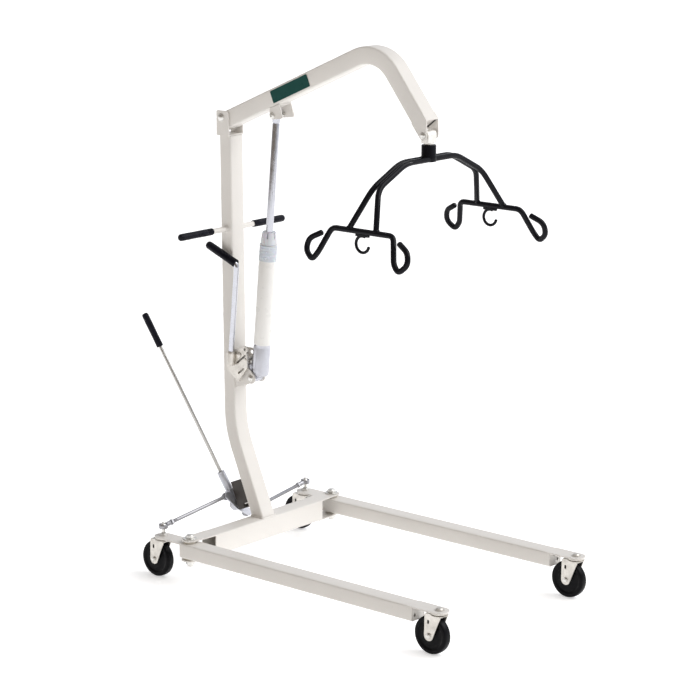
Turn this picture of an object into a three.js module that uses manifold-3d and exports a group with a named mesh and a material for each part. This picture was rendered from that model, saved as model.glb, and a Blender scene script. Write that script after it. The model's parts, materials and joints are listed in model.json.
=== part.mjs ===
// Patient lift hoist: a wheeled base with two spreading legs, a bent mast, a hand-pumped
// hydraulic jack, a cranked boom and a four-point spreader bar.
//
// Millimetres, +Z up, the legs point along -Y, and +X is the right-hand side seen from the
// front. Inside the group "hoist" Y = 0 is the line through the two leg pivots and Z = 0 is
// the floor; the outer group then centres the footprint on the origin.

import * as THREE from 'three';
import { mergeVertices } from 'three/addons/utils/BufferGeometryUtils.js';
import Module from 'manifold-3d';

// ------------------------------------------------------------------ driving dimensions

const GAP = 0.3; // between pieces that are fixed together
const RUN = 0.6; // between pieces that move past each other
const WALL = 3; // wall of the square and rectangular tubes

const LEG = {
  x: 293, width: 52, height: 40, top: 119, front: -797, rear: 15, tongue: 4, tip: 25, footCut: 4,
};
const LEG_MOUTH = { radius: 11, holeR: 4.5, holeX: 12, holeUp: 14 };
const CASTER = { frontY: -866, rearY: 101, trail: 22, radius: 50.8, width: 24, bore: 4.3 };
const FORK = { plate: 3, sideGap: 2, crownGap: 4, crownR: 23, foot: 14 };
const RACE = { radius: 22, height: 5.4, boltR: 6, headR: 9.5, headH: 7 };

const CROSS = { bottom: 70, top: 129, front: -29, rear: 25, wallEnd: 221, tipR: 24 };
const PIVOT_BOLT = { radius: 8, headR: 13, headH: 9, washerR: 18, washerH: 3, nutR: 12, nutH: 13 };
const SLEEVE = { wall: 2.5, flangeR: 17 };

const MAST = { width: 51.5, depth: 41.3, kneeY: 79, kneeZ: 374, topY: 86, topZ: 1193, lean: 22.9 };
const KNEE = { steps: 5, spread: 55 };
const HEAD = { plate: 4, top: 1262, frontInset: 2, rearOut: 6, tailR: 4, cornerR: 13 };
const PUSH = { y: 105, z: 935.5, radius: 7.5, half: 206, gripR: 10, gripLength: 126, gripWall: 2.2 };

const BOOM = { width: 50.8, depth: 47, pivotY: 115.6, pivotZ: 1243, pivotDrop: 13, tail: 14 };
const BOOM_BEND = { rise: 23.5, fall: 52, outerR: 125, crestY: -400.7, steps: 14 };
const BOOM_END = { pinY: -586, pinZ: 1256, back: 24, lobeR: 12.5 };
const BOOM_BOLT = { radius: 6, headR: 8, headH: 5 };
const LABEL = { length: 142, height: 34, thick: 1.2, from: 196, drop: 6 };

const ROD_PIN = { y: -69, z: 1263, radius: 5.5, headR: 8 };
const ROD_CHANNEL = { plate: 4, web: 3, behind: 10, below: 10, toe: 36, toeUp: 4, brow: 24 };
const PUMP = { y: 22, z: 525, tilt: 5.2, tubeR: 24.2, tubeBore: 20.6 };
const PUMP_Z = { base: 8, flatTop: 27, tube: 99, collar: 383, collarTop: 419, piston: 255 };
const PUMP_BASE = { radius: 22.3, spigot: 16, lugR: 12, lugWidth: 36, lugBore: 6.4 };
const PUMP_ROD = { radius: 10, pistonH: 20, eyeR: 12, eyeWidth: 22, eyeBore: 6.4, setBack: 7 };
const PLUNGER = { x: -9, radius: 5, headR: 7.5, headH: 5, bossR: 9, lift: 4.4, depth: 12, bore: 26 };
const VALVE_BOSS = { x: 9.5, y: 10, radius: 8, top: 84 };
const PUMP_MOUNT = { plate: 4, bottom: 489, top: 600, nose: 16, ear: 12, notchY: 15, notchZ: 28 };

const HANDLE = { pivotY: 54, pivotZ: 588, nose: 24, noseDrop: 9, nosePinR: 4, plate: 5, pinR: 5 };
const HANDLE_BAR = { radius: 7.5, topY: 50, topZ: 846, footY: 75, footZ: 592, gripLength: 118 };
const LEVER_EDGE = [[100, 586], [87, 590], [34, 611], [23, 594], [24, 556], [57, 512], [100, 543]];
const LEVER_SLOTS = [[31, 589, 60, 566], [37, 551, 56, 537]];
const LEVER = { slotR: 3, ringY: 31, ringZ: 607, ringR: 9.5, ringBore: 4.5, hubR: 9, socketWall: 3.5 };
const HANDLE_GRIP = { radius: 11.5, slope: 21.5, bend: 14 };

const HANGER = { width: 34, depth: 24, boltR: 8, blockBottom: 1235 };
const BOSS = { top: 1231, bottom: 1187, radius: 20.5, recess: 14, recessR: 15.5, nutR: 14, nutH: 11 };
const ARCH = { rodR: 7.5, spacing: 18, z: 1194, bendX: 102, splitX: 211, splitZ: 1142, footY: 44 };
const BAR = { x: 262, z: 1040, half: 100, rodR: 7.5, filletR: 14 };
// course of a sling loop from the end of its cross bar: outward, along the bar, up
const SLING_LOOP = [[28, 24, -64], [31, 41, -83], [25, 66, -62], [19, 61, -32], [9, 27, -15]];
const STRAP_HOOK = {
  rodR: 4, radius: 21, drop: 32, plate: 5, plateLength: 44, from: 70, sweep: 275, steps: 11,
};

const SHIFT = { along: 43, offset: 70, tilt: 12, pinRadius: 42, pinTilt: 44, pinR: 4 };
const SHIFT_YOKE = { thick: 20, hubR: 16, armR: 10, armThick: 4.5, boltR: 6.5, headR: 11, headH: 8 };
const SHIFT_CLAMP = { half: 9.2, from: 12, to: 47 };
const SHIFT_SOCKET = { neckR: 8.5, radius: 11, start: 50, end: 104 };
const SHIFT_ROD = { radius: 5, end: 598, gripStart: 498 };
const SHIFT_GRIP = { radius: 9.5, wall: 3 };
const SHIFT_MOUNT = { width: 30, depth: 51, low: 26, high: 108 };

const BALL = { z: 145.8, radius: 8.5, neckR: 4.5, hexR: 11, topZ: 157 };
const TIE = {
  rodR: 5, eyeR: 13, eyeHalf: 6, farEyeR: 11, farEyeThick: 6, eyeY: 1.5, slack: 2.7, yaw: 7, headR: 8.5,
};

const ROUND = 18; // sides of the visible round pieces
const SMALL_ROUND = 12; // sides of bolts, pins and bores

// ------------------------------------------------------------------ materials

function finish(color, roughness, metalness) {
  return new THREE.MeshStandardMaterial({ color, roughness, metalness });
}

const POWDER = finish(0xdcd6cc, 0.45, 0.0);
const CHROME = finish(0xd0d2d6, 0.15, 1.0);
const ZINC = finish(0xc4c2bc, 0.35, 0.9);
const CAST = finish(0xb9bac2, 0.5, 0.7);
const DARK_STEEL = finish(0x37332f, 0.55, 0.5);
const BLACK_GLOSS = finish(0x0b0a10, 0.2, 0.0);
const GRIP_BLACK = finish(0x17141f, 0.35, 0.0);
const WHEEL_BLACK = finish(0x0c0c0e, 0.5, 0.0);
const WHITE_TUBE = finish(0xe9e7e2, 0.35, 0.0);
const CLEAR_COLLAR = finish(0xdfe0ea, 0.2, 0.0);
const LABEL_GREEN = finish(0x0f4a44, 0.4, 0.0);
const NYLON = finish(0xe6e2d6, 0.6, 0.0);

// ------------------------------------------------------------------ solid helpers

const wasm = await Module();
wasm.setup();

function signedVolume(position, index) {
  const a = new THREE.Vector3();
  const b = new THREE.Vector3();
  const c = new THREE.Vector3();
  let volume = 0;
  for (let i = 0; i < index.length; i += 3) {
    a.fromBufferAttribute(position, index[i]);
    b.fromBufferAttribute(position, index[i + 1]);
    c.fromBufferAttribute(position, index[i + 2]);
    volume += a.dot(b.cross(c)) / 6;
  }
  return volume;
}

// A closed three.js geometry becomes a solid: shared corners merged, faces pointing out.
function solid(geometry) {
  const bare = geometry.clone();
  bare.deleteAttribute('normal');
  bare.deleteAttribute('uv');
  const merged = mergeVertices(bare, 1e-4);
  const triangles = [];
  const index = merged.index.array;
  for (let i = 0; i < index.length; i += 3) {
    const [a, b, c] = [index[i], index[i + 1], index[i + 2]];
    if (a !== b && b !== c && a !== c) triangles.push(a, b, c);
  }
  if (signedVolume(merged.attributes.position, triangles) < 0) triangles.reverse();
  return new wasm.Manifold(new wasm.Mesh({
    numProp: 3,
    vertProperties: Float32Array.from(merged.attributes.position.array),
    triVerts: Uint32Array.from(triangles),
  }));
}

function join(...pieces) {
  return pieces.reduce((whole, piece) => whole.add(piece));
}

function cut(whole, ...tools) {
  return tools.reduce((rest, tool) => rest.subtract(tool), whole);
}

function toGeometry(piece) {
  const mesh = piece.getMesh();
  const geometry = new THREE.BufferGeometry();
  geometry.setAttribute('position', new THREE.BufferAttribute(mesh.vertProperties, 3));
  geometry.setIndex(new THREE.BufferAttribute(mesh.triVerts, 1));
  geometry.computeVertexNormals();
  return geometry;
}

function box(x0, x1, y0, y1, z0, z1) {
  const geometry = new THREE.BoxGeometry(x1 - x0, y1 - y0, z1 - z0);
  geometry.translate((x0 + x1) / 2, (y0 + y1) / 2, (z0 + z1) / 2);
  return solid(geometry);
}

// A solid turned about the Z axis; the profile is a list of [radius, z] from bottom to top.
function turned(profile, sides = ROUND) {
  const geometry = new THREE.LatheGeometry(profile.map(([r, z]) => new THREE.Vector2(r, z)), sides);
  geometry.rotateX(Math.PI / 2);
  return solid(geometry);
}

function cylinder(radius, z0, z1, sides = ROUND) {
  return turned([[0, z0], [radius, z0], [radius, z1], [0, z1]], sides);
}

function moved(piece, x, y, z) {
  return piece.translate([x, y, z]);
}

// A solid made along Z is laid along X, keeping its distances along the axis.
function alongX(piece) {
  return piece.rotate([0, 90, 0]);
}

// A cylinder along X from x0 to x1 through the point (y, z).
function pinX(radius, x0, x1, y, z, sides = SMALL_ROUND) {
  return moved(alongX(cylinder(radius, x0, x1, sides)), 0, y, z);
}

// A cylinder between two points.
function rod(from, to, radius, sides = SMALL_ROUND) {
  const axis = to.clone().sub(from);
  const geometry = new THREE.CylinderGeometry(radius, radius, axis.length(), sides);
  geometry.translate(0, axis.length() / 2, 0);
  const turn = new THREE.Quaternion().setFromUnitVectors(new THREE.Vector3(0, 1, 0), axis.normalize());
  geometry.applyQuaternion(turn);
  geometry.translate(from.x, from.y, from.z);
  return solid(geometry);
}

// A closed side outline in (y, z), given as a Shape, becomes a plate from x0 to x1.
function sidePlate(shape, x0, x1, curveSegments = 6) {
  const geometry = new THREE.ExtrudeGeometry(shape, { depth: x1 - x0, bevelEnabled: false, curveSegments });
  geometry.translate(0, 0, x0);
  const toSide = new THREE.Matrix4().makeBasis(
    new THREE.Vector3(0, 1, 0),
    new THREE.Vector3(0, 0, 1),
    new THREE.Vector3(1, 0, 0),
  );
  geometry.applyMatrix4(toSide);
  return solid(geometry);
}

// A closed outline in (x, y) becomes a plate from z0 to z1.
function flatPlate(shape, z0, z1, curveSegments = 8) {
  const geometry = new THREE.ExtrudeGeometry(shape, { depth: z1 - z0, bevelEnabled: false, curveSegments });
  geometry.translate(0, 0, z0);
  return solid(geometry);
}

function polygon(points) {
  return new THREE.Shape(points.map(([u, v]) => new THREE.Vector2(u, v)));
}

// The outline that a tight band round several circles [u, v, radius] would make.
function bandOutline(circles, arcSteps = 7) {
  const points = [];
  for (const [u, v, r] of circles) {
    for (let i = 0; i < 2 * arcSteps; i += 1) {
      const angle = (i * Math.PI) / arcSteps;
      points.push([u + r * Math.cos(angle), v + r * Math.sin(angle)]);
    }
  }
  points.sort((p, q) => p[0] - q[0] || p[1] - q[1]);
  const turnsLeft = (o, a, b) => (a[0] - o[0]) * (b[1] - o[1]) - (a[1] - o[1]) * (b[0] - o[0]);
  const halfHull = (list) => {
    const hull = [];
    for (const p of list) {
      while (hull.length > 1 && turnsLeft(hull[hull.length - 2], hull[hull.length - 1], p) <= 1e-6) {
        hull.pop();
      }
      hull.push(p);
    }
    hull.pop();
    return hull;
  };
  return polygon([...halfHull(points), ...halfHull(points.reverse())]);
}

// Points along a run of straight lines with every corner rounded off.
function roundedPath(points, filletR, steps = 4) {
  const path = [points[0]];
  for (let i = 1; i < points.length - 1; i += 1) {
    const before = points[i - 1].clone().sub(points[i]);
    const after = points[i + 1].clone().sub(points[i]);
    const reach = Math.min(filletR, before.length() * 0.45, after.length() * 0.45);
    const enter = points[i].clone().addScaledVector(before.normalize(), reach);
    const leave = points[i].clone().addScaledVector(after.normalize(), reach);
    path.push(...new THREE.QuadraticBezierCurve3(enter, points[i], leave).getPoints(steps));
  }
  path.push(points[points.length - 1]);
  return path;
}

// A round rod swept through a list of points, with flat ends.
function sweptRod(points, radius, sides = 8) {
  const last = points.length - 1;
  const positions = [];
  const triangles = [];
  const across = new THREE.Vector3(0.31, 0.83, 0.46);
  points.forEach((point, i) => {
    const tangent = points[Math.min(i + 1, last)].clone().sub(points[Math.max(i - 1, 0)]).normalize();
    across.addScaledVector(tangent, -across.dot(tangent)).normalize();
    const other = tangent.clone().cross(across);
    for (let k = 0; k < sides; k += 1) {
      const angle = (2 * Math.PI * k) / sides;
      const corner = point.clone()
        .addScaledVector(across, radius * Math.cos(angle))
        .addScaledVector(other, radius * Math.sin(angle));
      positions.push(...corner.toArray());
    }
  });
  for (let i = 0; i < last; i += 1) {
    for (let k = 0; k < sides; k += 1) {
      const here = i * sides + k;
      const beside = i * sides + ((k + 1) % sides);
      triangles.push(here, beside, beside + sides, here, beside + sides, here + sides);
    }
  }
  for (let k = 1; k < sides - 1; k += 1) {
    triangles.push(0, k + 1, k);
    triangles.push(last * sides, last * sides + k, last * sides + k + 1);
  }
  const geometry = new THREE.BufferGeometry();
  geometry.setAttribute('position', new THREE.Float32BufferAttribute(positions, 3));
  geometry.setIndex(triangles);
  return solid(geometry);
}

const v3 = (x, y, z) => new THREE.Vector3(x, y, z);
const degrees = THREE.MathUtils.degToRad;

const hoist = new THREE.Group();

function add(name, piece, material, place = hoist) {
  const mesh = new THREE.Mesh(toGeometry(piece), material);
  mesh.name = name;
  place.add(mesh);
  return mesh;
}

function groupAt(x, y, z, parent = hoist) {
  const group = new THREE.Group();
  group.position.set(x, y, z);
  parent.add(group);
  return group;
}

const SIDES = [['left', -1], ['right', 1]];

// ------------------------------------------------------------------ crossmember

const crossMiddleY = (CROSS.front + CROSS.rear) / 2;
const flangeUnder = CROSS.bottom + WALL;
const flangeOver = CROSS.top - WALL;
const pivotHoleR = PIVOT_BOLT.radius + GAP;

function crossmember() {
  const reach = LEG.x + CROSS.tipR;
  const outline = new THREE.Shape();
  outline.moveTo(-CROSS.wallEnd, CROSS.front);
  outline.lineTo(CROSS.wallEnd, CROSS.front);
  outline.absarc(LEG.x, 0, CROSS.tipR, degrees(-70), degrees(90), false);
  outline.lineTo(CROSS.wallEnd, CROSS.rear);
  outline.lineTo(-CROSS.wallEnd, CROSS.rear);
  outline.absarc(-LEG.x, 0, CROSS.tipR, degrees(90), degrees(250), false);
  const bar = flatPlate(outline, CROSS.bottom, CROSS.top);
  const inside = box(-reach - 1, reach + 1, CROSS.front + WALL, CROSS.rear - WALL, flangeUnder, flangeOver);
  const mouths = SIDES.map(([, side]) => {
    const [x0, x1] = side < 0 ? [-reach - 1, -CROSS.wallEnd] : [CROSS.wallEnd, reach + 1];
    return box(x0, x1, CROSS.front - 1, CROSS.rear + 1, flangeUnder, flangeOver);
  });
  const holes = SIDES.map(([, side]) => (
    moved(cylinder(pivotHoleR, CROSS.bottom - 1, CROSS.top + 1), side * LEG.x, 0, 0)
  ));
  return cut(bar, inside, ...mouths, ...holes);
}

add('crossmember', crossmember(), POWDER);

// ------------------------------------------------------------------ legs

const legBottom = LEG.top - LEG.height;
const sleeveR = PIVOT_BOLT.radius + GAP + SLEEVE.wall;

// Rectangular tube; at both ends the lower walls stop and the top wall runs on as a tongue
// that carries a caster. A plate with a hole closes the front mouth.
function leg() {
  const half = LEG.width / 2;
  const tongueUnder = LEG.top - LEG.tongue;
  const tongueOutline = new THREE.Shape();
  tongueOutline.absarc(0, CASTER.rearY, LEG.tip, 0, Math.PI, false);
  tongueOutline.lineTo(-half, LEG.rear);
  tongueOutline.lineTo(-half, LEG.front);
  tongueOutline.absarc(0, CASTER.frontY, LEG.tip, Math.PI, 2 * Math.PI, false);
  tongueOutline.lineTo(half, LEG.front);
  tongueOutline.lineTo(half, LEG.rear);
  const tongue = flatPlate(tongueOutline, tongueUnder, LEG.top);
  const tube = box(-half, half, LEG.front, LEG.rear, legBottom, LEG.top);
  const inside = box(
    -half + WALL,
    half - WALL,
    LEG.front + WALL,
    LEG.rear + 1,
    legBottom + WALL,
    tongueUnder,
  );
  const throughPlate = (radius) => pinY(radius, LEG.front - 1, LEG.front + WALL + 1);
  const frontMouth = moved(throughPlate(LEG_MOUTH.radius), 0, 0, tongueUnder);
  const plateHole = moved(throughPlate(LEG_MOUTH.holeR), LEG_MOUTH.holeX, 0, legBottom + LEG_MOUTH.holeUp);
  const chamfer = sidePlate(polygon([
    [LEG.rear - LEG.footCut, legBottom - 1],
    [LEG.rear + 1, legBottom - 1],
    [LEG.rear + 1, legBottom + LEG.footCut],
  ]), -half - 1, half + 1);
  const belowTongue = box(-half, half, LEG.front - 40, LEG.rear + 40, legBottom - 1, tongueUnder);
  const cutMouth = frontMouth.intersect(belowTongue);
  const holes = [
    cylinder(sleeveR + GAP, legBottom - 1, LEG.top + 1),
    moved(cylinder(RACE.boltR + GAP, tongueUnder - 1, LEG.top + 1, SMALL_ROUND), 0, CASTER.frontY, 0),
    moved(cylinder(RACE.boltR + GAP, tongueUnder - 1, LEG.top + 1, SMALL_ROUND), 0, CASTER.rearY, 0),
  ];
  return cut(cut(tube, inside).add(tongue), cutMouth, plateHole, chamfer, ...holes);
}

// A cylinder along Y from y0 to y1 on the Y axis.
function pinY(radius, y0, y1, sides = ROUND) {
  return cylinder(radius, -y1, -y0, sides).rotate([90, 0, 0]);
}

// Nylon sleeve in the leg with a thrust collar above and below it.
function legSleeve() {
  const bore = PIVOT_BOLT.radius + GAP;
  return turned([
    [bore, flangeUnder + RUN / 2],
    [SLEEVE.flangeR, flangeUnder + RUN / 2],
    [SLEEVE.flangeR, legBottom - GAP],
    [sleeveR, legBottom - GAP],
    [sleeveR, LEG.top + GAP],
    [SLEEVE.flangeR, LEG.top + GAP],
    [SLEEVE.flangeR, flangeOver - RUN / 2],
    [bore, flangeOver - RUN / 2],
    [bore, flangeUnder + RUN / 2],
  ]);
}

function legPivotBolt() {
  const seat = CROSS.top + GAP;
  const under = CROSS.bottom - GAP;
  const washer = cylinder(PIVOT_BOLT.washerR, seat, seat + PIVOT_BOLT.washerH);
  const head = turned([
    [0, seat + 1],
    [PIVOT_BOLT.headR, seat + 1],
    [PIVOT_BOLT.headR, seat + PIVOT_BOLT.washerH + 4],
    [PIVOT_BOLT.headR * 0.7, seat + PIVOT_BOLT.washerH + PIVOT_BOLT.headH],
    [0, seat + PIVOT_BOLT.washerH + PIVOT_BOLT.headH + 1.5],
  ], 12);
  const shank = cylinder(PIVOT_BOLT.radius, under - PIVOT_BOLT.nutH - 5, seat + 2);
  const nut = cylinder(PIVOT_BOLT.nutR, under - PIVOT_BOLT.nutH, under, 6);
  return join(shank, washer, head, nut);
}

// Caster top race with its bolt; front casters have a domed head above the tongue.
function casterRace(withHead) {
  const seat = LEG.top - LEG.tongue - GAP;
  const race = turned([
    [0, seat - RACE.height],
    [RACE.radius - 2, seat - RACE.height],
    [RACE.radius, seat - RACE.height + 1.5],
    [RACE.radius, seat - 1],
    [RACE.radius - 2, seat],
    [0, seat],
  ]);
  const shank = cylinder(RACE.boltR, seat - 1, LEG.top + (withHead ? 1 : 0), SMALL_ROUND);
  if (!withHead) return join(race, shank);
  const headSeat = LEG.top + GAP;
  const head = turned([
    [0, headSeat],
    [RACE.headR + 3, headSeat],
    [RACE.headR + 3, headSeat + 1.6],
    [RACE.headR, headSeat + 1.6],
    [RACE.headR - 1, headSeat + RACE.headH - 2],
    [RACE.headR / 2, headSeat + RACE.headH],
    [0, headSeat + RACE.headH],
  ], SMALL_ROUND);
  return join(race, shank, head);
}

// Ball stud of the spreader linkage, screwed down over the rear caster's bolt.
function ballStud() {
  const seat = LEG.top + GAP;
  const ballProfile = [];
  const neckAngle = Math.asin(BALL.neckR / BALL.radius);
  for (let i = 0; i <= 6; i += 1) {
    const angle = -Math.PI / 2 + neckAngle + ((Math.PI - 2 * neckAngle) * i) / 6;
    ballProfile.push([BALL.radius * Math.cos(angle), BALL.z + BALL.radius * Math.sin(angle)]);
  }
  return turned([
    [0, seat],
    [BALL.hexR, seat],
    [BALL.hexR, seat + 7],
    [BALL.neckR, seat + 8],
    ...ballProfile,
    [BALL.neckR, BALL.topZ - 1],
    [BALL.neckR - 1, BALL.topZ],
    [0, BALL.topZ],
  ], SMALL_ROUND);
}

// ------------------------------------------------------------------ casters

const crownTop = LEG.top - LEG.tongue - GAP - RACE.height - RUN;
const crownUnder = CASTER.radius * 2 + FORK.crownGap;
const forkInner = CASTER.width / 2 + FORK.sideGap;
const forkOuter = forkInner + FORK.plate;

function casterFork() {
  const cheek = bandOutline([
    [CASTER.trail, CASTER.radius, FORK.foot],
    [-8, crownUnder - 3, 6],
    [CASTER.trail + 7, crownUnder - 3, 6],
  ], 5);
  const cheeks = [-1, 1].map((side) => {
    const [x0, x1] = side < 0 ? [-forkOuter, -forkInner] : [forkInner, forkOuter];
    return sidePlate(cheek, x0, x1);
  });
  const bridge = box(-forkOuter, forkOuter, -14, CASTER.trail + 13, crownUnder, crownUnder + FORK.plate);
  const crown = turned([
    [0, crownUnder + 1],
    [FORK.crownR, crownUnder + 1],
    [FORK.crownR, crownTop - 1.2],
    [FORK.crownR - 2, crownTop],
    [0, crownTop],
  ]);
  const legHoleY = CASTER.trail + 1;
  const legHoleZ = CASTER.radius + 36;
  const sideHoles = pinX(3.2, -forkOuter - 1, forkOuter + 1, legHoleY, legHoleZ, 10);
  const axleHole = pinX(CASTER.bore, -forkOuter - 1, forkOuter + 1, CASTER.trail, CASTER.radius);
  return cut(join(...cheeks, bridge, crown), sideHoles, axleHole);
}

function casterWheel() {
  const half = CASTER.width / 2;
  const r = CASTER.radius;
  const wheel = turned([
    [CASTER.bore, -half],
    [15, -half],
    [17, -half + 2.5],
    [r - 13, -half + 2.5],
    [r - 10, -half],
    [r - 4, -half],
    [r - 1, -half + 4],
    [r, 0],
    [r - 1, half - 4],
    [r - 4, half],
    [r - 10, half],
    [r - 13, half - 2.5],
    [17, half - 2.5],
    [15, half],
    [CASTER.bore, half],
    [CASTER.bore, -half],
  ], 24);
  return moved(alongX(wheel), 0, CASTER.trail, CASTER.radius);
}

function casterAxle() {
  const seat = forkOuter + GAP;
  const axle = turned([
    [0, -seat - 6],
    [4, -seat - 6],
    [6.5, -seat - 3.5],
    [6.5, -seat],
    [CASTER.bore - GAP, -seat],
    [CASTER.bore - GAP, seat],
    [6.5, seat],
    [6.5, seat + 3.5],
    [4, seat + 6],
    [0, seat + 6],
  ], SMALL_ROUND);
  return moved(alongX(axle), 0, CASTER.trail, CASTER.radius);
}

for (const [sideName, side] of SIDES) {
  const legGroup = groupAt(side * LEG.x, 0, 0);
  add(`leg_${sideName}`, leg(), POWDER, legGroup);
  add(`leg_sleeve_${sideName}`, legSleeve(), NYLON, legGroup);
  add(`leg_pivot_bolt_${sideName}`, legPivotBolt(), ZINC, legGroup);
  add(`ball_stud_${sideName}`, ballStud(), ZINC, groupAt(0, CASTER.rearY, 0, legGroup));
  for (const [endName, y] of [['front', CASTER.frontY], ['rear', CASTER.rearY]]) {
    const caster = groupAt(0, y, 0, legGroup);
    const tag = `${endName}_${sideName}`;
    add(`caster_race_${tag}`, casterRace(endName === 'front'), ZINC, caster);
    add(`caster_fork_${tag}`, casterFork(), ZINC, caster);
    add(`caster_wheel_${tag}`, casterWheel(), WHEEL_BLACK, caster);
    add(`caster_axle_${tag}`, casterAxle(), ZINC, caster);
  }
}

// ------------------------------------------------------------------ mast

const lean = degrees(MAST.lean);
const mastBaseZ = CROSS.top + GAP;
const lowRun = new THREE.Vector2(Math.sin(lean), Math.cos(lean));
const highRun = new THREE.Vector2(MAST.topY - MAST.kneeY, MAST.topZ - MAST.kneeZ).normalize();
const mastFrontY = (z) => {
  const run = z > MAST.kneeZ ? highRun : lowRun;
  return MAST.kneeY + ((z - MAST.kneeZ) * run.x) / run.y;
};

// Edge of the mast's side outline, from foot to top, set back from its front face.
function mastEdge(setBack, overrun) {
  const lowNormal = new THREE.Vector2(lowRun.y, -lowRun.x);
  const highNormal = new THREE.Vector2(highRun.y, -highRun.x);
  const mitre = setBack / (1 + lowNormal.dot(highNormal));
  const knee = new THREE.Vector2(MAST.kneeY, MAST.kneeZ)
    .addScaledVector(lowNormal, mitre)
    .addScaledVector(highNormal, mitre);
  const runTo = (run, z) => knee.clone().addScaledVector(run, (z - knee.y) / run.y);
  const bend = new THREE.QuadraticBezierCurve(
    knee.clone().addScaledVector(lowRun, -KNEE.spread),
    knee,
    knee.clone().addScaledVector(highRun, KNEE.spread),
  );
  return [
    runTo(lowRun, mastBaseZ - overrun),
    ...bend.getPoints(KNEE.steps),
    runTo(highRun, MAST.topZ + overrun),
  ];
}

// The mast's front face at one height, its bend included.
function mastFaceY(z) {
  const edge = mastEdge(0, 0);
  const next = edge.findIndex((p) => p.y >= z);
  const [below, above] = [edge[next - 1], edge[next]];
  return below.x + ((above.x - below.x) * (z - below.y)) / (above.y - below.y);
}

function mastOutline(inset, overrun) {
  const front = mastEdge(inset, overrun);
  const rear = mastEdge(MAST.depth - inset, overrun);
  return new THREE.Shape([...front, ...rear.reverse()]);
}

function mast() {
  const half = MAST.width / 2;
  const shell = cut(
    sidePlate(mastOutline(0, 0), -half, half),
    sidePlate(mastOutline(WALL, 2), -half + WALL, half - WALL),
  );
  const handleHole = pinX(PUSH.radius + GAP, -half - 1, half + 1, PUSH.y, PUSH.z, ROUND);
  return cut(shell, handleHole);
}

add('mast', mast(), POWDER);

// Channel welded on the mast's top: the boom swings between its two cheeks.
const headInner = MAST.width / 2 + GAP;
const headOuter = headInner + HEAD.plate;
const headFront = mastFrontY(MAST.topZ) + HEAD.frontInset;
const headRear = mastFrontY(MAST.topZ) + MAST.depth + HEAD.rearOut;

function mastHead() {
  const bottom = MAST.topZ + GAP;
  const outline = new THREE.Shape();
  outline.moveTo(headFront, bottom);
  outline.lineTo(headRear, bottom);
  outline.absarc(headRear - HEAD.tailR, HEAD.top - HEAD.tailR, HEAD.tailR, 0, Math.PI / 2, false);
  const cornerY = headFront + HEAD.cornerR;
  outline.absarc(cornerY, HEAD.top - HEAD.cornerR, HEAD.cornerR, Math.PI / 2, Math.PI, false);
  const block = sidePlate(outline, -headOuter, headOuter);
  const slot = box(-headInner, headInner, headFront - 1, headRear + 1, bottom + HEAD.plate, HEAD.top + 1);
  const boltHole = pinX(BOOM_BOLT.radius + GAP, -headOuter - 1, headOuter + 1, BOOM.pivotY, BOOM.pivotZ);
  return cut(block, slot, boltHole);
}

add('mast_head_bracket', mastHead(), POWDER);

// A bolt along X with a head outside each cheek.
function crossBolt(radius, headR, headH, outer, y, z) {
  const seat = outer + GAP;
  const profile = [
    [0, -seat - headH],
    [headR * 0.6, -seat - headH],
    [headR, -seat - headH + 2],
    [headR, -seat],
    [radius, -seat],
    [radius, seat],
    [headR, seat],
    [headR, seat + headH - 2],
    [headR * 0.6, seat + headH],
    [0, seat + headH],
  ];
  return moved(alongX(turned(profile, SMALL_ROUND)), 0, y, z);
}

const boomBolt = crossBolt(
  BOOM_BOLT.radius,
  BOOM_BOLT.headR,
  BOOM_BOLT.headH,
  headOuter,
  BOOM.pivotY,
  BOOM.pivotZ,
);
add('boom_pivot_bolt', boomBolt, ZINC);

// Push handle: one bar through the mast with a grip on each end.
add('push_handle_bar', pinX(PUSH.radius, -PUSH.half, PUSH.half, PUSH.y, PUSH.z, 16), POWDER);

function pushGrip() {
  const bore = PUSH.radius + GAP;
  const end = PUSH.half + PUSH.gripWall;
  const start = end - PUSH.gripLength;
  return turned([
    [bore, start],
    [PUSH.gripR - 1.5, start],
    [PUSH.gripR, start + 2],
    [PUSH.gripR, end - 5],
    [PUSH.gripR - 3, end],
    [0, end],
    [0, PUSH.half + GAP],
    [bore, PUSH.half + GAP],
    [bore, start],
  ], 18);
}

for (const [sideName, side] of SIDES) {
  const grip = side > 0 ? alongX(pushGrip()) : alongX(pushGrip()).mirror([1, 0, 0]);
  add(`push_grip_${sideName}`, grip, GRIP_BLACK, groupAt(0, PUSH.y, PUSH.z));
}

// ------------------------------------------------------------------ pump mount on the mast

const pumpLugHalf = PUMP_BASE.lugWidth / 2;
const pumpMountInner = pumpLugHalf + RUN;
const pumpMountOuter = pumpMountInner + PUMP_MOUNT.plate;

function pumpMount() {
  const back = mastFaceY(PUMP_MOUNT.bottom) - GAP;
  const outline = new THREE.Shape();
  outline.moveTo(back, PUMP_MOUNT.bottom);
  outline.lineTo(back, PUMP_MOUNT.top);
  outline.absarc(HANDLE.pivotY, HANDLE.pivotZ, PUMP_MOUNT.ear, Math.PI / 2, Math.PI, false);
  outline.lineTo(HANDLE.pivotY - PUMP_MOUNT.notchY, HANDLE.pivotZ - PUMP_MOUNT.notchZ);
  outline.absarc(PUMP.y, PUMP.z, PUMP_MOUNT.nose, Math.PI * 0.7, Math.PI * 1.62, false);
  const block = sidePlate(outline, -pumpMountOuter, pumpMountOuter);
  const slot = box(
    -pumpMountInner,
    pumpMountInner,
    PUMP.y - 40,
    back - PUMP_MOUNT.plate,
    PUMP_MOUNT.bottom - 1,
    PUMP_MOUNT.top + 1,
  );
  const bolt = pinX(PUMP_BASE.lugBore, -pumpMountOuter - 1, pumpMountOuter + 1, PUMP.y, PUMP.z);
  const handlePin = pinX(HANDLE.pinR + RUN / 2, -pumpMountOuter - 1, 0, HANDLE.pivotY, HANDLE.pivotZ);
  return cut(block, slot, bolt, handlePin);
}

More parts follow.
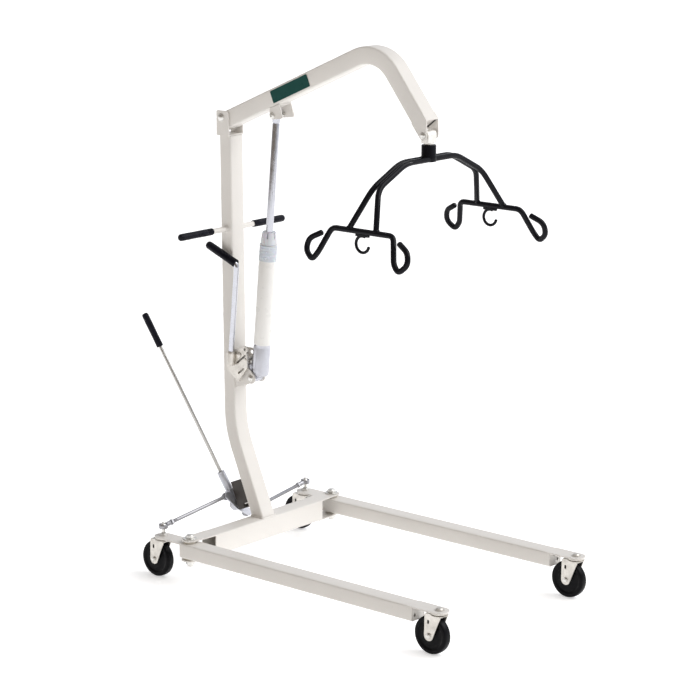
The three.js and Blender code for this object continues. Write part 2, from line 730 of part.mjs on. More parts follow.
add('pump_mount_bracket', pumpMount(), POWDER);
const pumpBolt = crossBolt(PUMP_BASE.lugBore - GAP, 8.5, 5, pumpMountOuter, PUMP.y, PUMP.z);
add('pump_pivot_bolt', pumpBolt, ZINC);

// ------------------------------------------------------------------ pump

// Local frame of the pump: its lower pivot at the origin, the jack's axis parallel to Z
// and set forward of the pivot.
const pump = groupAt(0, PUMP.y, PUMP.z);
pump.rotation.x = degrees(PUMP.tilt);

const rodPinLocal = v3(0, ROD_PIN.y - PUMP.y, ROD_PIN.z - PUMP.z)
  .applyAxisAngle(v3(1, 0, 0), -degrees(PUMP.tilt));
const jackY = rodPinLocal.y + PUMP_ROD.setBack;
const eyeZ = rodPinLocal.z;
const atJack = (piece) => moved(piece, 0, jackY, 0);

// The plunger stands under the handle's nose pin, in a boss of its own beside the jack.
const nosePoint = v3(0, HANDLE.pivotY - HANDLE.nose, HANDLE.pivotZ - HANDLE.noseDrop);
const noseInPump = nosePoint.clone()
  .sub(pump.position)
  .applyAxisAngle(v3(1, 0, 0), -degrees(PUMP.tilt));
const plungerY = noseInPump.y;
const plungerTop = noseInPump.z - HANDLE.nosePinR - RUN;
const bossTop = plungerTop - PLUNGER.headH - PLUNGER.lift;

function pumpBase() {
  const body = atJack(turned([
    [0, PUMP_Z.base],
    [PUMP_BASE.radius - 5, PUMP_Z.base],
    [PUMP_BASE.radius, PUMP_Z.base + 5],
    [PUMP_BASE.radius, PUMP_Z.tube],
    [PUMP.tubeBore - GAP, PUMP_Z.tube],
    [PUMP.tubeBore - GAP, PUMP_Z.tube + PUMP_BASE.spigot],
    [0, PUMP_Z.tube + PUMP_BASE.spigot],
  ]));
  const flats = [-1, 1].map((side) => {
    const [x0, x1] = side < 0 ? [-40, -pumpLugHalf] : [pumpLugHalf, 40];
    return box(x0, x1, jackY - 40, 40, 0, PUMP_Z.flatTop);
  });
  const lug = pinX(PUMP_BASE.lugR, -pumpLugHalf, pumpLugHalf, 0, 0, ROUND);
  const web = sidePlate(polygon([
    [jackY, 2],
    [4, -8],
    [10, 6],
    [jackY + 12, PUMP_Z.base + 30],
  ]), -14, 14);
  const boss = moved(cylinder(PLUNGER.bossR, 2, bossTop, 16), PLUNGER.x, plungerY, 0);
  const valveBoss = moved(cylinder(VALVE_BOSS.radius, 2, VALVE_BOSS.top, 16), VALVE_BOSS.x, VALVE_BOSS.y, 0);
  const bossBore = moved(
    cylinder(PLUNGER.radius + RUN / 2, bossTop - PLUNGER.bore, bossTop + 1, SMALL_ROUND),
    PLUNGER.x,
    plungerY,
    0,
  );
  const boltBore = pinX(PUMP_BASE.lugBore, -pumpLugHalf - 1, pumpLugHalf + 1, 0, 0);
  return cut(join(cut(body, ...flats), web, lug, boss, valveBoss), bossBore, boltBore);
}

function pumpTube() {
  return atJack(turned([
    [PUMP.tubeBore, PUMP_Z.tube + GAP],
    [PUMP.tubeR, PUMP_Z.tube + GAP],
    [PUMP.tubeR, PUMP_Z.collar - 2],
    [PUMP.tubeR - 1.5, PUMP_Z.collar],
    [PUMP.tubeBore, PUMP_Z.collar],
    [PUMP.tubeBore, PUMP_Z.tube + GAP],
  ], 28));
}

// Gland collar: a spigot down inside the tube and four notches round its top.
function pumpCollar() {
  const bore = PUMP_ROD.radius + RUN / 2;
  const ring = turned([
    [bore, PUMP_Z.collar - 18],
    [PUMP.tubeBore - GAP, PUMP_Z.collar - 18],
    [PUMP.tubeBore - GAP, PUMP_Z.collar + GAP],
    [PUMP.tubeR - 2, PUMP_Z.collar + GAP],
    [PUMP.tubeR - 3, PUMP_Z.collar + 14],
    [PUMP.tubeR - 6, PUMP_Z.collarTop],
    [bore, PUMP_Z.collarTop],
    [bore, PUMP_Z.collar - 18],
  ]);
  const notch = box(-2.5, 2.5, 13, PUMP.tubeR, PUMP_Z.collar + 20, PUMP_Z.collarTop + 1);
  const notches = [0, 60, 120, 180, 240, 300].map((angle) => notch.rotate([0, 0, angle]));
  return atJack(cut(ring, ...notches));
}

function pumpRod() {
  const shaft = turned([
    [0, PUMP_Z.piston],
    [PUMP.tubeBore - RUN, PUMP_Z.piston],
    [PUMP.tubeBore - RUN, PUMP_Z.piston + PUMP_ROD.pistonH],
    [PUMP_ROD.radius, PUMP_Z.piston + PUMP_ROD.pistonH],
    [PUMP_ROD.radius, eyeZ - 6],
    [0, eyeZ - 6],
  ]);
  const eye = pinX(PUMP_ROD.eyeR, -PUMP_ROD.eyeWidth / 2, PUMP_ROD.eyeWidth / 2, 0, eyeZ, 20);
  const bore = pinX(PUMP_ROD.eyeBore, -PUMP_ROD.eyeWidth, PUMP_ROD.eyeWidth, 0, eyeZ);
  return atJack(cut(join(shaft, eye), bore));
}

function plunger() {
  const foot = bossTop - PLUNGER.depth;
  return moved(turned([
    [0, foot],
    [PLUNGER.radius, foot],
    [PLUNGER.radius, plungerTop - PLUNGER.headH],
    [PLUNGER.headR, plungerTop - PLUNGER.headH],
    [PLUNGER.headR, plungerTop],
    [0, plungerTop],
  ], SMALL_ROUND), PLUNGER.x, plungerY, 0);
}

add('pump_base', pumpBase(), CAST, pump);
add('pump_tube', pumpTube(), WHITE_TUBE, pump);
add('pump_collar', pumpCollar(), CLEAR_COLLAR, pump);
add('pump_rod', pumpRod(), CHROME, pump);
add('pump_plunger', plunger(), ZINC, pump);

// ------------------------------------------------------------------ pump handle

// The lever stands outside the mount's left cheek; its nose pin bears on the plunger.
const leverInner = -pumpMountOuter - 7;
const leverOuter = leverInner - HANDLE.plate;
const barX = leverOuter - HANDLE_BAR.radius - 1;

function pumpLever() {
  const socketTop = v3(barX, HANDLE_BAR.footY, HANDLE_BAR.footZ);
  const up = v3(0, HANDLE_BAR.topY - HANDLE_BAR.footY, HANDLE_BAR.topZ - HANDLE_BAR.footZ).normalize();
  const socketFoot = socketTop.clone().addScaledVector(up, -34);
  const plate = sidePlate(polygon(LEVER_EDGE), leverOuter, leverInner);
  const ring = pinX(LEVER.ringR, leverOuter, leverInner, LEVER.ringY, LEVER.ringZ, ROUND);
  const ringBore = pinX(LEVER.ringBore, leverOuter - 1, leverInner + 1, LEVER.ringY, LEVER.ringZ);
  const slots = LEVER_SLOTS.map(([y0, z0, y1, z1]) => sidePlate(bandOutline([
    [y0, z0, LEVER.slotR],
    [y1, z1, LEVER.slotR],
  ]), leverOuter - 1, leverInner + 1));
  const nosePin = pinX(HANDLE.nosePinR, leverInner - 1, PLUNGER.x + 4, nosePoint.y, nosePoint.z);
  const pivotPin = pinX(HANDLE.pinR, leverOuter - 4, -pumpMountInner + 6, HANDLE.pivotY, HANDLE.pivotZ);
  const pivotHead = pinX(LEVER.hubR, leverOuter - 5, leverOuter + 1, HANDLE.pivotY, HANDLE.pivotZ);
  const socketR = HANDLE_BAR.radius + LEVER.socketWall;
  const socket = rod(socketFoot, socketTop.clone().addScaledVector(up, 6), socketR, 16);
  const bore = rod(
    socketTop.clone().addScaledVector(up, -24),
    socketTop.clone().addScaledVector(up, 12),
    HANDLE_BAR.radius + GAP,
    16,
  );
  return cut(join(plate, ring, nosePin, pivotPin, pivotHead, socket), ringBore, bore, ...slots);
}

const gripSlope = degrees(HANDLE_GRIP.slope);
const gripDirection = v3(0, Math.cos(gripSlope), Math.sin(gripSlope));
const handleKnee = v3(barX, HANDLE_BAR.topY, HANDLE_BAR.topZ);

function pumpHandleBar() {
  const foot = v3(barX, HANDLE_BAR.footY, HANDLE_BAR.footZ);
  const up = handleKnee.clone().sub(foot).normalize();
  const start = foot.clone().addScaledVector(up, -23);
  const end = handleKnee.clone().addScaledVector(gripDirection, HANDLE_BAR.gripLength - 6);
  return sweptRod(roundedPath([start, handleKnee, end], HANDLE_GRIP.bend, 6), HANDLE_BAR.radius, 12);
}

function pumpHandleGrip() {
  const start = handleKnee.clone().addScaledVector(gripDirection, HANDLE_GRIP.bend + 1);
  const end = handleKnee.clone().addScaledVector(gripDirection, HANDLE_BAR.gripLength);
  const inner = handleKnee.clone().addScaledVector(gripDirection, HANDLE_BAR.gripLength - 6 + GAP);
  const body = rod(start, end, HANDLE_GRIP.radius, 18);
  const mouth = start.clone().addScaledVector(gripDirection, -2);
  const bore = rod(mouth, inner, HANDLE_BAR.radius + GAP + 0.2, 16);
  return cut(body, bore);
}

add('pump_lever', pumpLever(), ZINC);
add('pump_handle_bar', pumpHandleBar(), CHROME);
add('pump_handle_grip', pumpHandleGrip(), GRIP_BLACK);

// ------------------------------------------------------------------ boom

const rise = degrees(BOOM_BEND.rise);
const fall = degrees(BOOM_BEND.fall);
const riseDir = new THREE.Vector2(-Math.cos(rise), Math.sin(rise));
const riseNormal = new THREE.Vector2(Math.sin(rise), Math.cos(rise));
const fallDir = new THREE.Vector2(-Math.cos(fall), -Math.sin(fall));
const boomPivot = new THREE.Vector2(BOOM.pivotY, BOOM.pivotZ);
const boomPin = new THREE.Vector2(BOOM_END.pinY, BOOM_END.pinZ);

// Centre of the bend, found from the top line of the rising run.
const topLine = riseNormal.dot(boomPivot) + BOOM.pivotDrop;
const bendCentreZ = (topLine - BOOM_BEND.outerR - riseNormal.x * BOOM_BEND.crestY) / riseNormal.y;
const bendCentre = new THREE.Vector2(BOOM_BEND.crestY, bendCentreZ);

// Side outline of the boom, set in from its faces; both ends can run past the cut.
function boomOutline(inset, overrun) {
  const outer = BOOM_BEND.outerR - inset;
  const inner = BOOM_BEND.outerR - BOOM.depth + inset;
  const tail = boomPivot.clone().addScaledVector(riseDir, -BOOM.tail - overrun);
  const tailTop = tail.clone().addScaledVector(riseNormal, BOOM.pivotDrop - inset);
  const tailBottom = tail.clone().addScaledVector(riseNormal, BOOM.pivotDrop - BOOM.depth + inset);
  const startAngle = Math.PI / 2 - rise;
  const endAngle = Math.PI / 2 + fall;
  const along = boomPin.clone().sub(bendCentre).dot(fallDir) - BOOM_END.back + overrun;
  const ray = (angle, radius) => new THREE.Vector2(Math.cos(angle), Math.sin(angle))
    .multiplyScalar(radius)
    .add(bendCentre);
  const outerEnd = ray(endAngle, outer).addScaledVector(fallDir, along);
  const innerEnd = ray(endAngle, inner).addScaledVector(fallDir, along);
  const arc = (radius) => Array.from({ length: BOOM_BEND.steps + 1 }, (_, i) => (
    ray(startAngle + ((endAngle - startAngle) * i) / BOOM_BEND.steps, radius)
  ));
  return [tailTop, ...arc(outer), outerEnd, innerEnd, ...arc(inner).reverse(), tailBottom];
}

function boom() {
  const half = BOOM.width / 2;
  const outside = boomOutline(0, 0);
  const shell = sidePlate(new THREE.Shape(outside), -half, half);
  const hollow = sidePlate(new THREE.Shape(boomOutline(WALL, 2)), -half + WALL, half - WALL);
  // the side walls run on past the end as two ears round the hanger pin
  const outerEnd = outside[BOOM_BEND.steps + 2];
  const innerEnd = outside[BOOM_BEND.steps + 3];
  const earRoot = (corner, other) => corner.clone().lerp(other, 0.02).addScaledVector(fallDir, -30);
  const ear = bandOutline([
    [...earRoot(outerEnd, innerEnd).toArray(), 0.5],
    [...earRoot(innerEnd, outerEnd).toArray(), 0.5],
    [...outerEnd.clone().lerp(innerEnd, 0.03).toArray(), 0.5],
    [...innerEnd.clone().lerp(outerEnd, 0.03).toArray(), 0.5],
    [boomPin.x, boomPin.y, BOOM_END.lobeR],
  ], 7);
  const ears = [-1, 1].map((side) => {
    const [x0, x1] = side < 0 ? [-half, -half + WALL] : [half - WALL, half];
    return sidePlate(ear, x0, x1);
  });
  const pivotHole = pinX(BOOM_BOLT.radius + RUN / 2, -half - 1, half + 1, boomPivot.x, boomPivot.y);
  const pinHole = pinX(5 + GAP, -half - 1, half + 1, boomPin.x, boomPin.y);
  return cut(join(cut(shell, hollow), ...ears), pivotHole, pinHole);
}

add('boom', boom(), POWDER);

// Channel under the boom that takes the jack's rod between its cheeks.
const rodCheekOuter = BOOM.width / 2;
const rodCheekInner = rodCheekOuter - ROD_CHANNEL.plate;
const boomUnderside = (y) => (
  (topLine - BOOM.depth - riseNormal.x * y) / riseNormal.y
);

function rodBracket() {
  const rearY = ROD_PIN.y + ROD_CHANNEL.behind;
  const toeY = ROD_PIN.y - ROD_CHANNEL.toe;
  const browY = ROD_PIN.y - ROD_CHANNEL.brow;
  const bottom = ROD_PIN.z - ROD_CHANNEL.below;
  const under = (y) => boomUnderside(y) - GAP / Math.cos(rise);
  const webUnder = (y) => under(y) - ROD_CHANNEL.web / Math.cos(rise);
  const outline = new THREE.Shape();
  outline.moveTo(rearY, under(rearY));
  outline.lineTo(browY, under(browY));
  outline.lineTo(toeY, bottom + 2 * ROD_CHANNEL.toeUp);
  outline.lineTo(toeY + ROD_CHANNEL.toeUp, bottom + ROD_CHANNEL.toeUp);
  outline.absarc(ROD_PIN.y, ROD_PIN.z, ROD_CHANNEL.below, -Math.PI / 2, 0, false);
  const block = sidePlate(outline, -rodCheekOuter, rodCheekOuter);
  const slotRear = rearY + 1;
  const slotFront = toeY - 1;
  const slot = sidePlate(polygon([
    [slotRear, webUnder(slotRear)],
    [slotFront, webUnder(slotFront)],
    [slotFront, bottom - 1],
    [slotRear, bottom - 1],
  ]), -rodCheekInner, rodCheekInner);
  const hole = pinX(ROD_PIN.radius + GAP, -rodCheekOuter - 1, rodCheekOuter + 1, ROD_PIN.y, ROD_PIN.z);
  return cut(block, slot, hole);
}

add('rod_bracket', rodBracket(), POWDER);

// Shoulder screw through one cheek, ending just clear of the rod's eye.
function rodScrew() {
  const seat = rodCheekOuter + GAP;
  const tip = PUMP_ROD.eyeWidth / 2 + RUN;
  return turned([
    [0, tip],
    [ROD_PIN.radius, tip],
    [ROD_PIN.radius, seat],
    [ROD_PIN.headR, seat],
    [ROD_PIN.headR, seat + 3],
    [ROD_PIN.headR * 0.6, seat + 5],
    [0, seat + 5],
  ], SMALL_ROUND);
}

for (const [sideName, side] of SIDES) {
  const screw = side > 0 ? alongX(rodScrew()) : alongX(rodScrew()).mirror([1, 0, 0]);
  add(`rod_screw_${sideName}`, screw, ZINC, groupAt(0, ROD_PIN.y, ROD_PIN.z));
}

// Plain coloured label plate on the boom's left side.
function boomLabel() {
  const x1 = -BOOM.width / 2 - GAP;
  const corner = (along, down) => boomPivot.clone()
    .addScaledVector(riseDir, along)
    .addScaledVector(riseNormal, BOOM.pivotDrop - down)
    .toArray();
  const outline = polygon([
    corner(LABEL.from, LABEL.drop),
    corner(LABEL.from + LABEL.length, LABEL.drop),
    corner(LABEL.from + LABEL.length, LABEL.drop + LABEL.height),
    corner(LABEL.from, LABEL.drop + LABEL.height),
  ]);
  return sidePlate(outline, x1 - LABEL.thick, x1);
}

add('boom_label', boomLabel(), LABEL_GREEN);

// ------------------------------------------------------------------ hanger and spreader bar

const hangerPin = crossBolt(5, 7.5, 4, BOOM.width / 2, BOOM_END.pinY, BOOM_END.pinZ);
add('hanger_pin', hangerPin, ZINC);

const spreader = groupAt(0, BOOM_END.pinY, 0);

function hanger() {
  const half = HANGER.width / 2;
  const deep = HANGER.depth / 2;
  const block = sidePlate(bandOutline([
    [0, BOOM_END.pinZ, deep],
    [-deep + 1, HANGER.blockBottom + 1, 1],
    [deep - 1, HANGER.blockBottom + 1, 1],
  ]), -half, half);
  const nutTop = BOSS.bottom + BOSS.recess - RUN;
  const bolt = cylinder(HANGER.boltR, BOSS.bottom, HANGER.blockBottom + 2, 16);
  const nut = cylinder(BOSS.nutR, nutTop - BOSS.nutH, nutTop, 6);
  const bore = pinX(5 + RUN / 2, -half - 1, half + 1, 0, BOOM_END.pinZ);
  return cut(join(block, bolt, nut), bore);
}

// Two bent rods side by side through the boss; past the split each pair straddles out
// to the ends of the cross bars.
function spreaderArch() {
  const boss = turned([
    [0, BOSS.bottom],
    [BOSS.radius - 2, BOSS.bottom],
    [BOSS.radius, BOSS.bottom + 2],
    [BOSS.radius, BOSS.top - 2],
    [BOSS.radius - 2, BOSS.top],
    [0, BOSS.top],
  ]);
  const half = ARCH.spacing / 2;
  const rods = [-1, 1].map((sign) => {
    const side = (mirror) => [
      v3(mirror * BAR.x, sign * ARCH.footY, BAR.z + 1),
      v3(mirror * ARCH.splitX, sign * half, ARCH.splitZ),
      v3(mirror * ARCH.bendX, sign * half, ARCH.z),
    ];
    return sweptRod(roundedPath([...side(-1), ...side(1).reverse()], 24), ARCH.rodR);
  });
  const webX = ARCH.splitX - 26;
  const webs = [-1, 1].map((side) => (
    box(side * webX - 8, side * webX + 8, -half, half, ARCH.splitZ + 10, ARCH.splitZ + 15)
  ));
  const saddles = [-1, 1].map((side) => (
    moved(pinY(BAR.rodR + GAP, -BAR.half, BAR.half), side * BAR.x, 0, BAR.z)
  ));
  const below = box(-BAR.x - 40, BAR.x + 40, -80, 80, BAR.z - 40, BAR.z + 2);
  const bore = cylinder(HANGER.boltR + RUN / 2, BOSS.bottom - 1, BOSS.top + 1, 16);
  const recess = cylinder(BOSS.recessR, BOSS.bottom - 1, BOSS.bottom + BOSS.recess, 16);
  return cut(join(boss, ...rods, ...webs), ...saddles, below, bore, recess);
}

// Cross bar: at each end the rod runs down and outward, then curls back up into an open
// sling loop. "side" is the bar's own side of the arch.
function spreaderBar(side) {
  const end = (sign) => [[0, 0, 0], ...SLING_LOOP].map(([out, along, up]) => (
    v3(side * (BAR.x + out), sign * (BAR.half + along), BAR.z + up)
  ));
  const points = [...end(-1).reverse(), ...end(1)];
  return sweptRod(roundedPath(points, BAR.filletR, 3), BAR.rodR);
}

// Small open hook welded under the middle of a cross bar.
function strapHook(side) {
  const x = side * BAR.x;
  const plateTop = BAR.z - BAR.rodR - GAP;
  const centreZ = BAR.z - STRAP_HOOK.drop;
  const points = [];
  for (let i = 0; i <= STRAP_HOOK.steps; i += 1) {
    const angle = degrees(STRAP_HOOK.from + (STRAP_HOOK.sweep * i) / STRAP_HOOK.steps);
    points.push(v3(x, -STRAP_HOOK.radius * Math.cos(angle), centreZ + STRAP_HOOK.radius * Math.sin(angle)));
  }
  const curl = sweptRod(points, STRAP_HOOK.rodR);
  const plate = box(
    x - STRAP_HOOK.rodR,
    x + STRAP_HOOK.rodR,
    -STRAP_HOOK.plateLength / 2,
    STRAP_HOOK.plateLength / 2,
    plateTop - STRAP_HOOK.plate,
    plateTop,
  );
  const above = box(x - 20, x + 20, -60, 60, plateTop, plateTop + 30);
  return cut(join(plate, curl), above);
}

add('hanger', hanger(), ZINC, spreader);
add('spreader_arch', spreaderArch(), BLACK_GLOSS, spreader);
for (const [sideName, side] of SIDES) {
  add(`spreader_bar_${sideName}`, spreaderBar(side), BLACK_GLOSS, spreader);
  add(`strap_hook_${sideName}`, strapHook(side), BLACK_GLOSS, spreader);
}

// ------------------------------------------------------------------ base spreader lever

// Local frame of the lever: its pivot at the origin, Z up the mast's sloping rear face,
// Y square out of that face.
const rearFoot = v3(0, mastEdge(MAST.depth, GAP)[0].x, CROSS.top);
const upMast = v3(0, Math.sin(lean), Math.cos(lean));
const outOfMast = v3(0, Math.cos(lean), -Math.sin(lean));
const shiftPivot = rearFoot.clone()
  .addScaledVector(upMast, SHIFT.along)
  .addScaledVector(outOfMast, SHIFT.offset);
const shifter = groupAt(shiftPivot.x, shiftPivot.y, shiftPivot.z);
shifter.rotation.x = -lean;

const leverDirection = v3(-Math.sin(degrees(SHIFT.tilt)), 0, Math.cos(degrees(SHIFT.tilt)));
const alongLever = (distance) => leverDirection.clone().multiplyScalar(distance);
const pinDirection = v3(-Math.sin(degrees(SHIFT.pinTilt)), 0, Math.cos(degrees(SHIFT.pinTilt)));
const tiePin = (sign) => pinDirection.clone().multiplyScalar(sign * SHIFT.pinRadius);
const yokeNear = -SHIFT_YOKE.thick / 2;
const yokeFar = SHIFT_YOKE.thick / 2;

// A cylinder along the lever frame's Y through (x, z).
function pinOut(radius, y0, y1, x, z, sides = SMALL_ROUND) {
  return moved(pinY(radius, y0, y1, sides), x, 0, z);
}

// A side outline in (x, z) becomes a plate from y0 to y1 in the lever's frame.
function frontPlate(shape, y0, y1) {
  return flatPlate(shape, -y1, -y0).rotate([90, 0, 0]);
}

function shiftMount() {
  const y0 = GAP - SHIFT.offset;
  const y1 = y0 + SHIFT_MOUNT.depth;
  const half = SHIFT_MOUNT.width / 2;
  const bottom = SHIFT_MOUNT.low - SHIFT.along;
  const top = SHIFT_MOUNT.high - SHIFT.along;
  const block = box(-half, half, y0, y1, bottom, top);
  const window = box(-half + 6, half - 6, y0 + 10, y1 - 8, bottom - 1, top - 26);
  const boltHole = pinOut(SHIFT_YOKE.boltR + GAP, y1 - 30, y1 + 1, 0, 0);
  const lowerFront = box(-half - 1, half + 1, y0 - 1, y0 + 26, bottom - 1, bottom + 14);
  return cut(block, window, boltHole, lowerFront);
}

function shiftYoke() {
  const [upper, lower] = [tiePin(1), tiePin(-1)];
  const hub = pinOut(SHIFT_YOKE.hubR, yokeNear, yokeFar, 0, 0, ROUND);
  const arms = frontPlate(bandOutline([
    [upper.x, upper.z, SHIFT_YOKE.armR],
    [0, 0, SHIFT_YOKE.hubR],
    [lower.x, lower.z, SHIFT_YOKE.armR],
  ], 7), yokeNear, yokeNear + SHIFT_YOKE.armThick);
  const pins = [upper, lower].map((p) => join(
    pinOut(SHIFT.pinR, yokeNear + 1, yokeFar + 1, p.x, p.z),
    pinOut(TIE.headR, yokeFar - 1.5, yokeFar + 1, p.x, p.z),
  ));
  const neck = rod(alongLever(8), alongLever(SHIFT_SOCKET.start + 1), SHIFT_SOCKET.neckR, 16);
  const clamp = box(-SHIFT_CLAMP.half, SHIFT_CLAMP.half, yokeNear, yokeFar, SHIFT_CLAMP.from, SHIFT_CLAMP.to)
    .rotate([0, -SHIFT.tilt, 0]);
  const socket = rod(
    alongLever(SHIFT_SOCKET.start),
    alongLever(SHIFT_SOCKET.end),
    SHIFT_SOCKET.radius,
    18,
  );
  const rodBore = rod(
    alongLever(SHIFT_SOCKET.start + 2),
    alongLever(SHIFT_SOCKET.end + 2),
    SHIFT_ROD.radius + GAP,
    16,
  );
  const boltHole = pinOut(SHIFT_YOKE.boltR + RUN / 2, yokeNear - 1, yokeFar + 1, 0, 0);
  return cut(join(hub, arms, ...pins, neck, clamp, socket), rodBore, boltHole);
}

function shiftBolt() {
  const tip = -SHIFT.offset + GAP + SHIFT_MOUNT.depth - 24;
  const seat = yokeFar + RUN;
  return join(
    pinOut(SHIFT_YOKE.boltR, tip, seat + 1, 0, 0),
    pinOut(SHIFT_YOKE.headR, seat, seat + SHIFT_YOKE.headH, 0, 0, 6),
  );
}

function shiftGrip() {
  const bore = rod(
    alongLever(SHIFT_ROD.gripStart - 1),
    alongLever(SHIFT_ROD.end + GAP),
    SHIFT_ROD.radius + GAP,
    16,
  );
  const body = rod(
    alongLever(SHIFT_ROD.gripStart),
    alongLever(SHIFT_ROD.end + SHIFT_GRIP.wall),
    SHIFT_GRIP.radius,
    18,
  );
  return cut(body, bore);
}

add('shift_mount', shiftMount(), DARK_STEEL, shifter);
add('shift_pivot_bolt', shiftBolt(), ZINC, shifter);
add('shift_yoke', shiftYoke(), CAST, shifter);
const shiftRod = rod(
  alongLever(SHIFT_SOCKET.start + 2 + GAP),
  alongLever(SHIFT_ROD.end),
  SHIFT_ROD.radius,
  16,
);
add('shift_rod', shiftRod, CHROME, shifter);
add('shift_grip', shiftGrip(), GRIP_BLACK, shifter);

// ------------------------------------------------------------------ tie rods

// Each rod runs from a leg's ball stud to its own pin on the lever's yoke. The eye at the
// ball has a round seat; the eye at the yoke has slack for the lever's sloping arc.
function tieRod(side) {
  const ball = v3(side * LEG.x, CASTER.rearY, BALL.z);
  const pin = tiePin(-side).setY(TIE.eyeY).applyMatrix4(shifter.matrix);
  const direction = pin.clone().sub(ball).normalize();
  const shaft = rod(
    ball.clone().addScaledVector(direction, TIE.eyeR - 3),
    pin.clone().addScaledVector(direction, -(TIE.farEyeR - 2)),
    TIE.rodR,
    12,
  );
  const seat = solid(new THREE.SphereGeometry(BALL.radius + RUN, 12, 8).translate(ball.x, ball.y, ball.z));
  const ring = moved(cylinder(TIE.eyeR, -TIE.eyeHalf, TIE.eyeHalf, 16), ball.x, ball.y, ball.z);
  // the far eye stands halfway between its two end attitudes on the pin
  const place = (piece) => piece
    .rotate([-MAST.lean, 0, 0])
    .rotate([0, 0, side * TIE.yaw])
    .translate(pin.toArray());
  const eye = pinOut(TIE.farEyeR, -TIE.farEyeThick / 2, TIE.farEyeThick / 2, 0, 0, 16);
  const hole = pinOut(SHIFT.pinR + TIE.slack, -TIE.farEyeThick, TIE.farEyeThick, 0, 0);
  return cut(join(shaft, ring, place(eye)), seat, place(hole));
}

shifter.updateMatrix();
for (const [sideName, side] of SIDES) {
  add(`tie_rod_${sideName}`, tieRod(side), CHROME);
}

// ------------------------------------------------------------------ footprint on the origin

hoist.updateMatrixWorld(true);
const reach = new THREE.Box3().setFromObject(hoist, true);
hoist.position.y = -(reach.min.y + reach.max.y) / 2;

const part = new THREE.Group();
part.add(hoist);

export default part;
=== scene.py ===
"""Finished model of a patient lift hoist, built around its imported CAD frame.

Sizes are in millimetres in the hoist's own axes: x = 0 is the plane of symmetry, y = 0 the line
through the two leg pivots, z = 0 the floor, and the legs point along -y. The Yard class places
them in the frame's metres.
"""

from __future__ import annotations

import json
import logging
import math
from dataclasses import dataclass, field
from enum import Enum
from typing import Iterable, Sequence

import bmesh
import bpy
from mathutils import Matrix, Vector

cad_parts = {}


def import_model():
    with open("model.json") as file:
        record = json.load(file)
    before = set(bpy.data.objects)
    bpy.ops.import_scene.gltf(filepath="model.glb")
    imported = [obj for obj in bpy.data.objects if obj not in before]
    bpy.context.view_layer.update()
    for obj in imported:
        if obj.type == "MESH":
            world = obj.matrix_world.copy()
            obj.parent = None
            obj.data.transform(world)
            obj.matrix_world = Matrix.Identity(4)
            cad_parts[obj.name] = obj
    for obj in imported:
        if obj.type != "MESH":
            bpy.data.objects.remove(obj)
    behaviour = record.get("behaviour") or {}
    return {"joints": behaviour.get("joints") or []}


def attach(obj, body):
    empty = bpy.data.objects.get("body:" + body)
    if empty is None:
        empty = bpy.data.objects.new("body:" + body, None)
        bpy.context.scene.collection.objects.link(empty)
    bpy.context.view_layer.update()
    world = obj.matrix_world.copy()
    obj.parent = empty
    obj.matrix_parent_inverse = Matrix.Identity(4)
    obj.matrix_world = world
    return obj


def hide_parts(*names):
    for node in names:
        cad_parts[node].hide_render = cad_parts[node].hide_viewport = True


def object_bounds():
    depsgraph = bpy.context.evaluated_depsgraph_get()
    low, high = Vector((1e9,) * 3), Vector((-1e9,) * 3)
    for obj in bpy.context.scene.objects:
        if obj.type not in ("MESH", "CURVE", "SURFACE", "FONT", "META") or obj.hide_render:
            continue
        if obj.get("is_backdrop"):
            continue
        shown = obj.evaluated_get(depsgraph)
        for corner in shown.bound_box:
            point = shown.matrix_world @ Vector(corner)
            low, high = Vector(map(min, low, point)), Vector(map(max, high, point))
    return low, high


LOG = logging.getLogger("hoist")
MM = 0.001

Point = tuple[float, float]
Socket = bpy.types.NodeSocket
Material = bpy.types.Material
SIDES = (("left", -1), ("right", 1))
ENDS = ("front", "rear")


class Edge(Enum):
    """How sharply a piece's corners are rounded, as a bevel width in millimetres."""

    NONE = 0.0
    PLATE = 0.5
    CAST = 1.6


# ---------- solids


@dataclass
class Solid:
    """Corners and faces of a mesh in the making, in millimetres."""

    verts: list[Vector] = field(default_factory=list)
    faces: list[tuple[int, ...]] = field(default_factory=list)

    def add(self, other: "Solid") -> "Solid":
        """Returns this solid with the other's faces added to it.

        Args:
            other: the solid that is taken in.

        Returns:
            This solid.
        """
        start = len(self.verts)
        self.verts.extend(other.verts)
        self.faces.extend(tuple(i + start for i in face) for face in other.faces)
        return self

    def moved(self, x: float, y: float, z: float) -> "Solid":
        """Returns a copy moved by (x, y, z)."""
        return Solid([v + Vector((x, y, z)) for v in self.verts], list(self.faces))

    def turned(self, axis: str, angle: float) -> "Solid":
        """Returns a copy turned about an axis through the origin, by an angle in degrees."""
        return self.through(Matrix.Rotation(math.radians(angle), 4, axis))

    def through(self, matrix: Matrix) -> "Solid":
        """Returns a copy carried by a matrix, with its faces still pointing out.

        Args:
            matrix: the 4 by 4 matrix, which may mirror.

        Returns:
            The new solid.
        """
        flip = matrix.determinant() < 0
        faces = [tuple(reversed(f)) if flip else f for f in self.faces]
        return Solid([matrix @ v for v in self.verts], faces)

    def mirrored(self) -> "Solid":
        """Returns a copy mirrored across x = 0."""
        return self.through(Matrix.Scale(-1, 4, Vector((1, 0, 0))))


def union(solids: Iterable[Solid]) -> Solid:
    """Gathers several solids into one mesh.

    Args:
        solids: the solids, which may touch or pass into each other.

    Returns:
        One solid with all their faces.
    """
    whole = Solid()
    for one in solids:
        whole.add(one)
    return whole


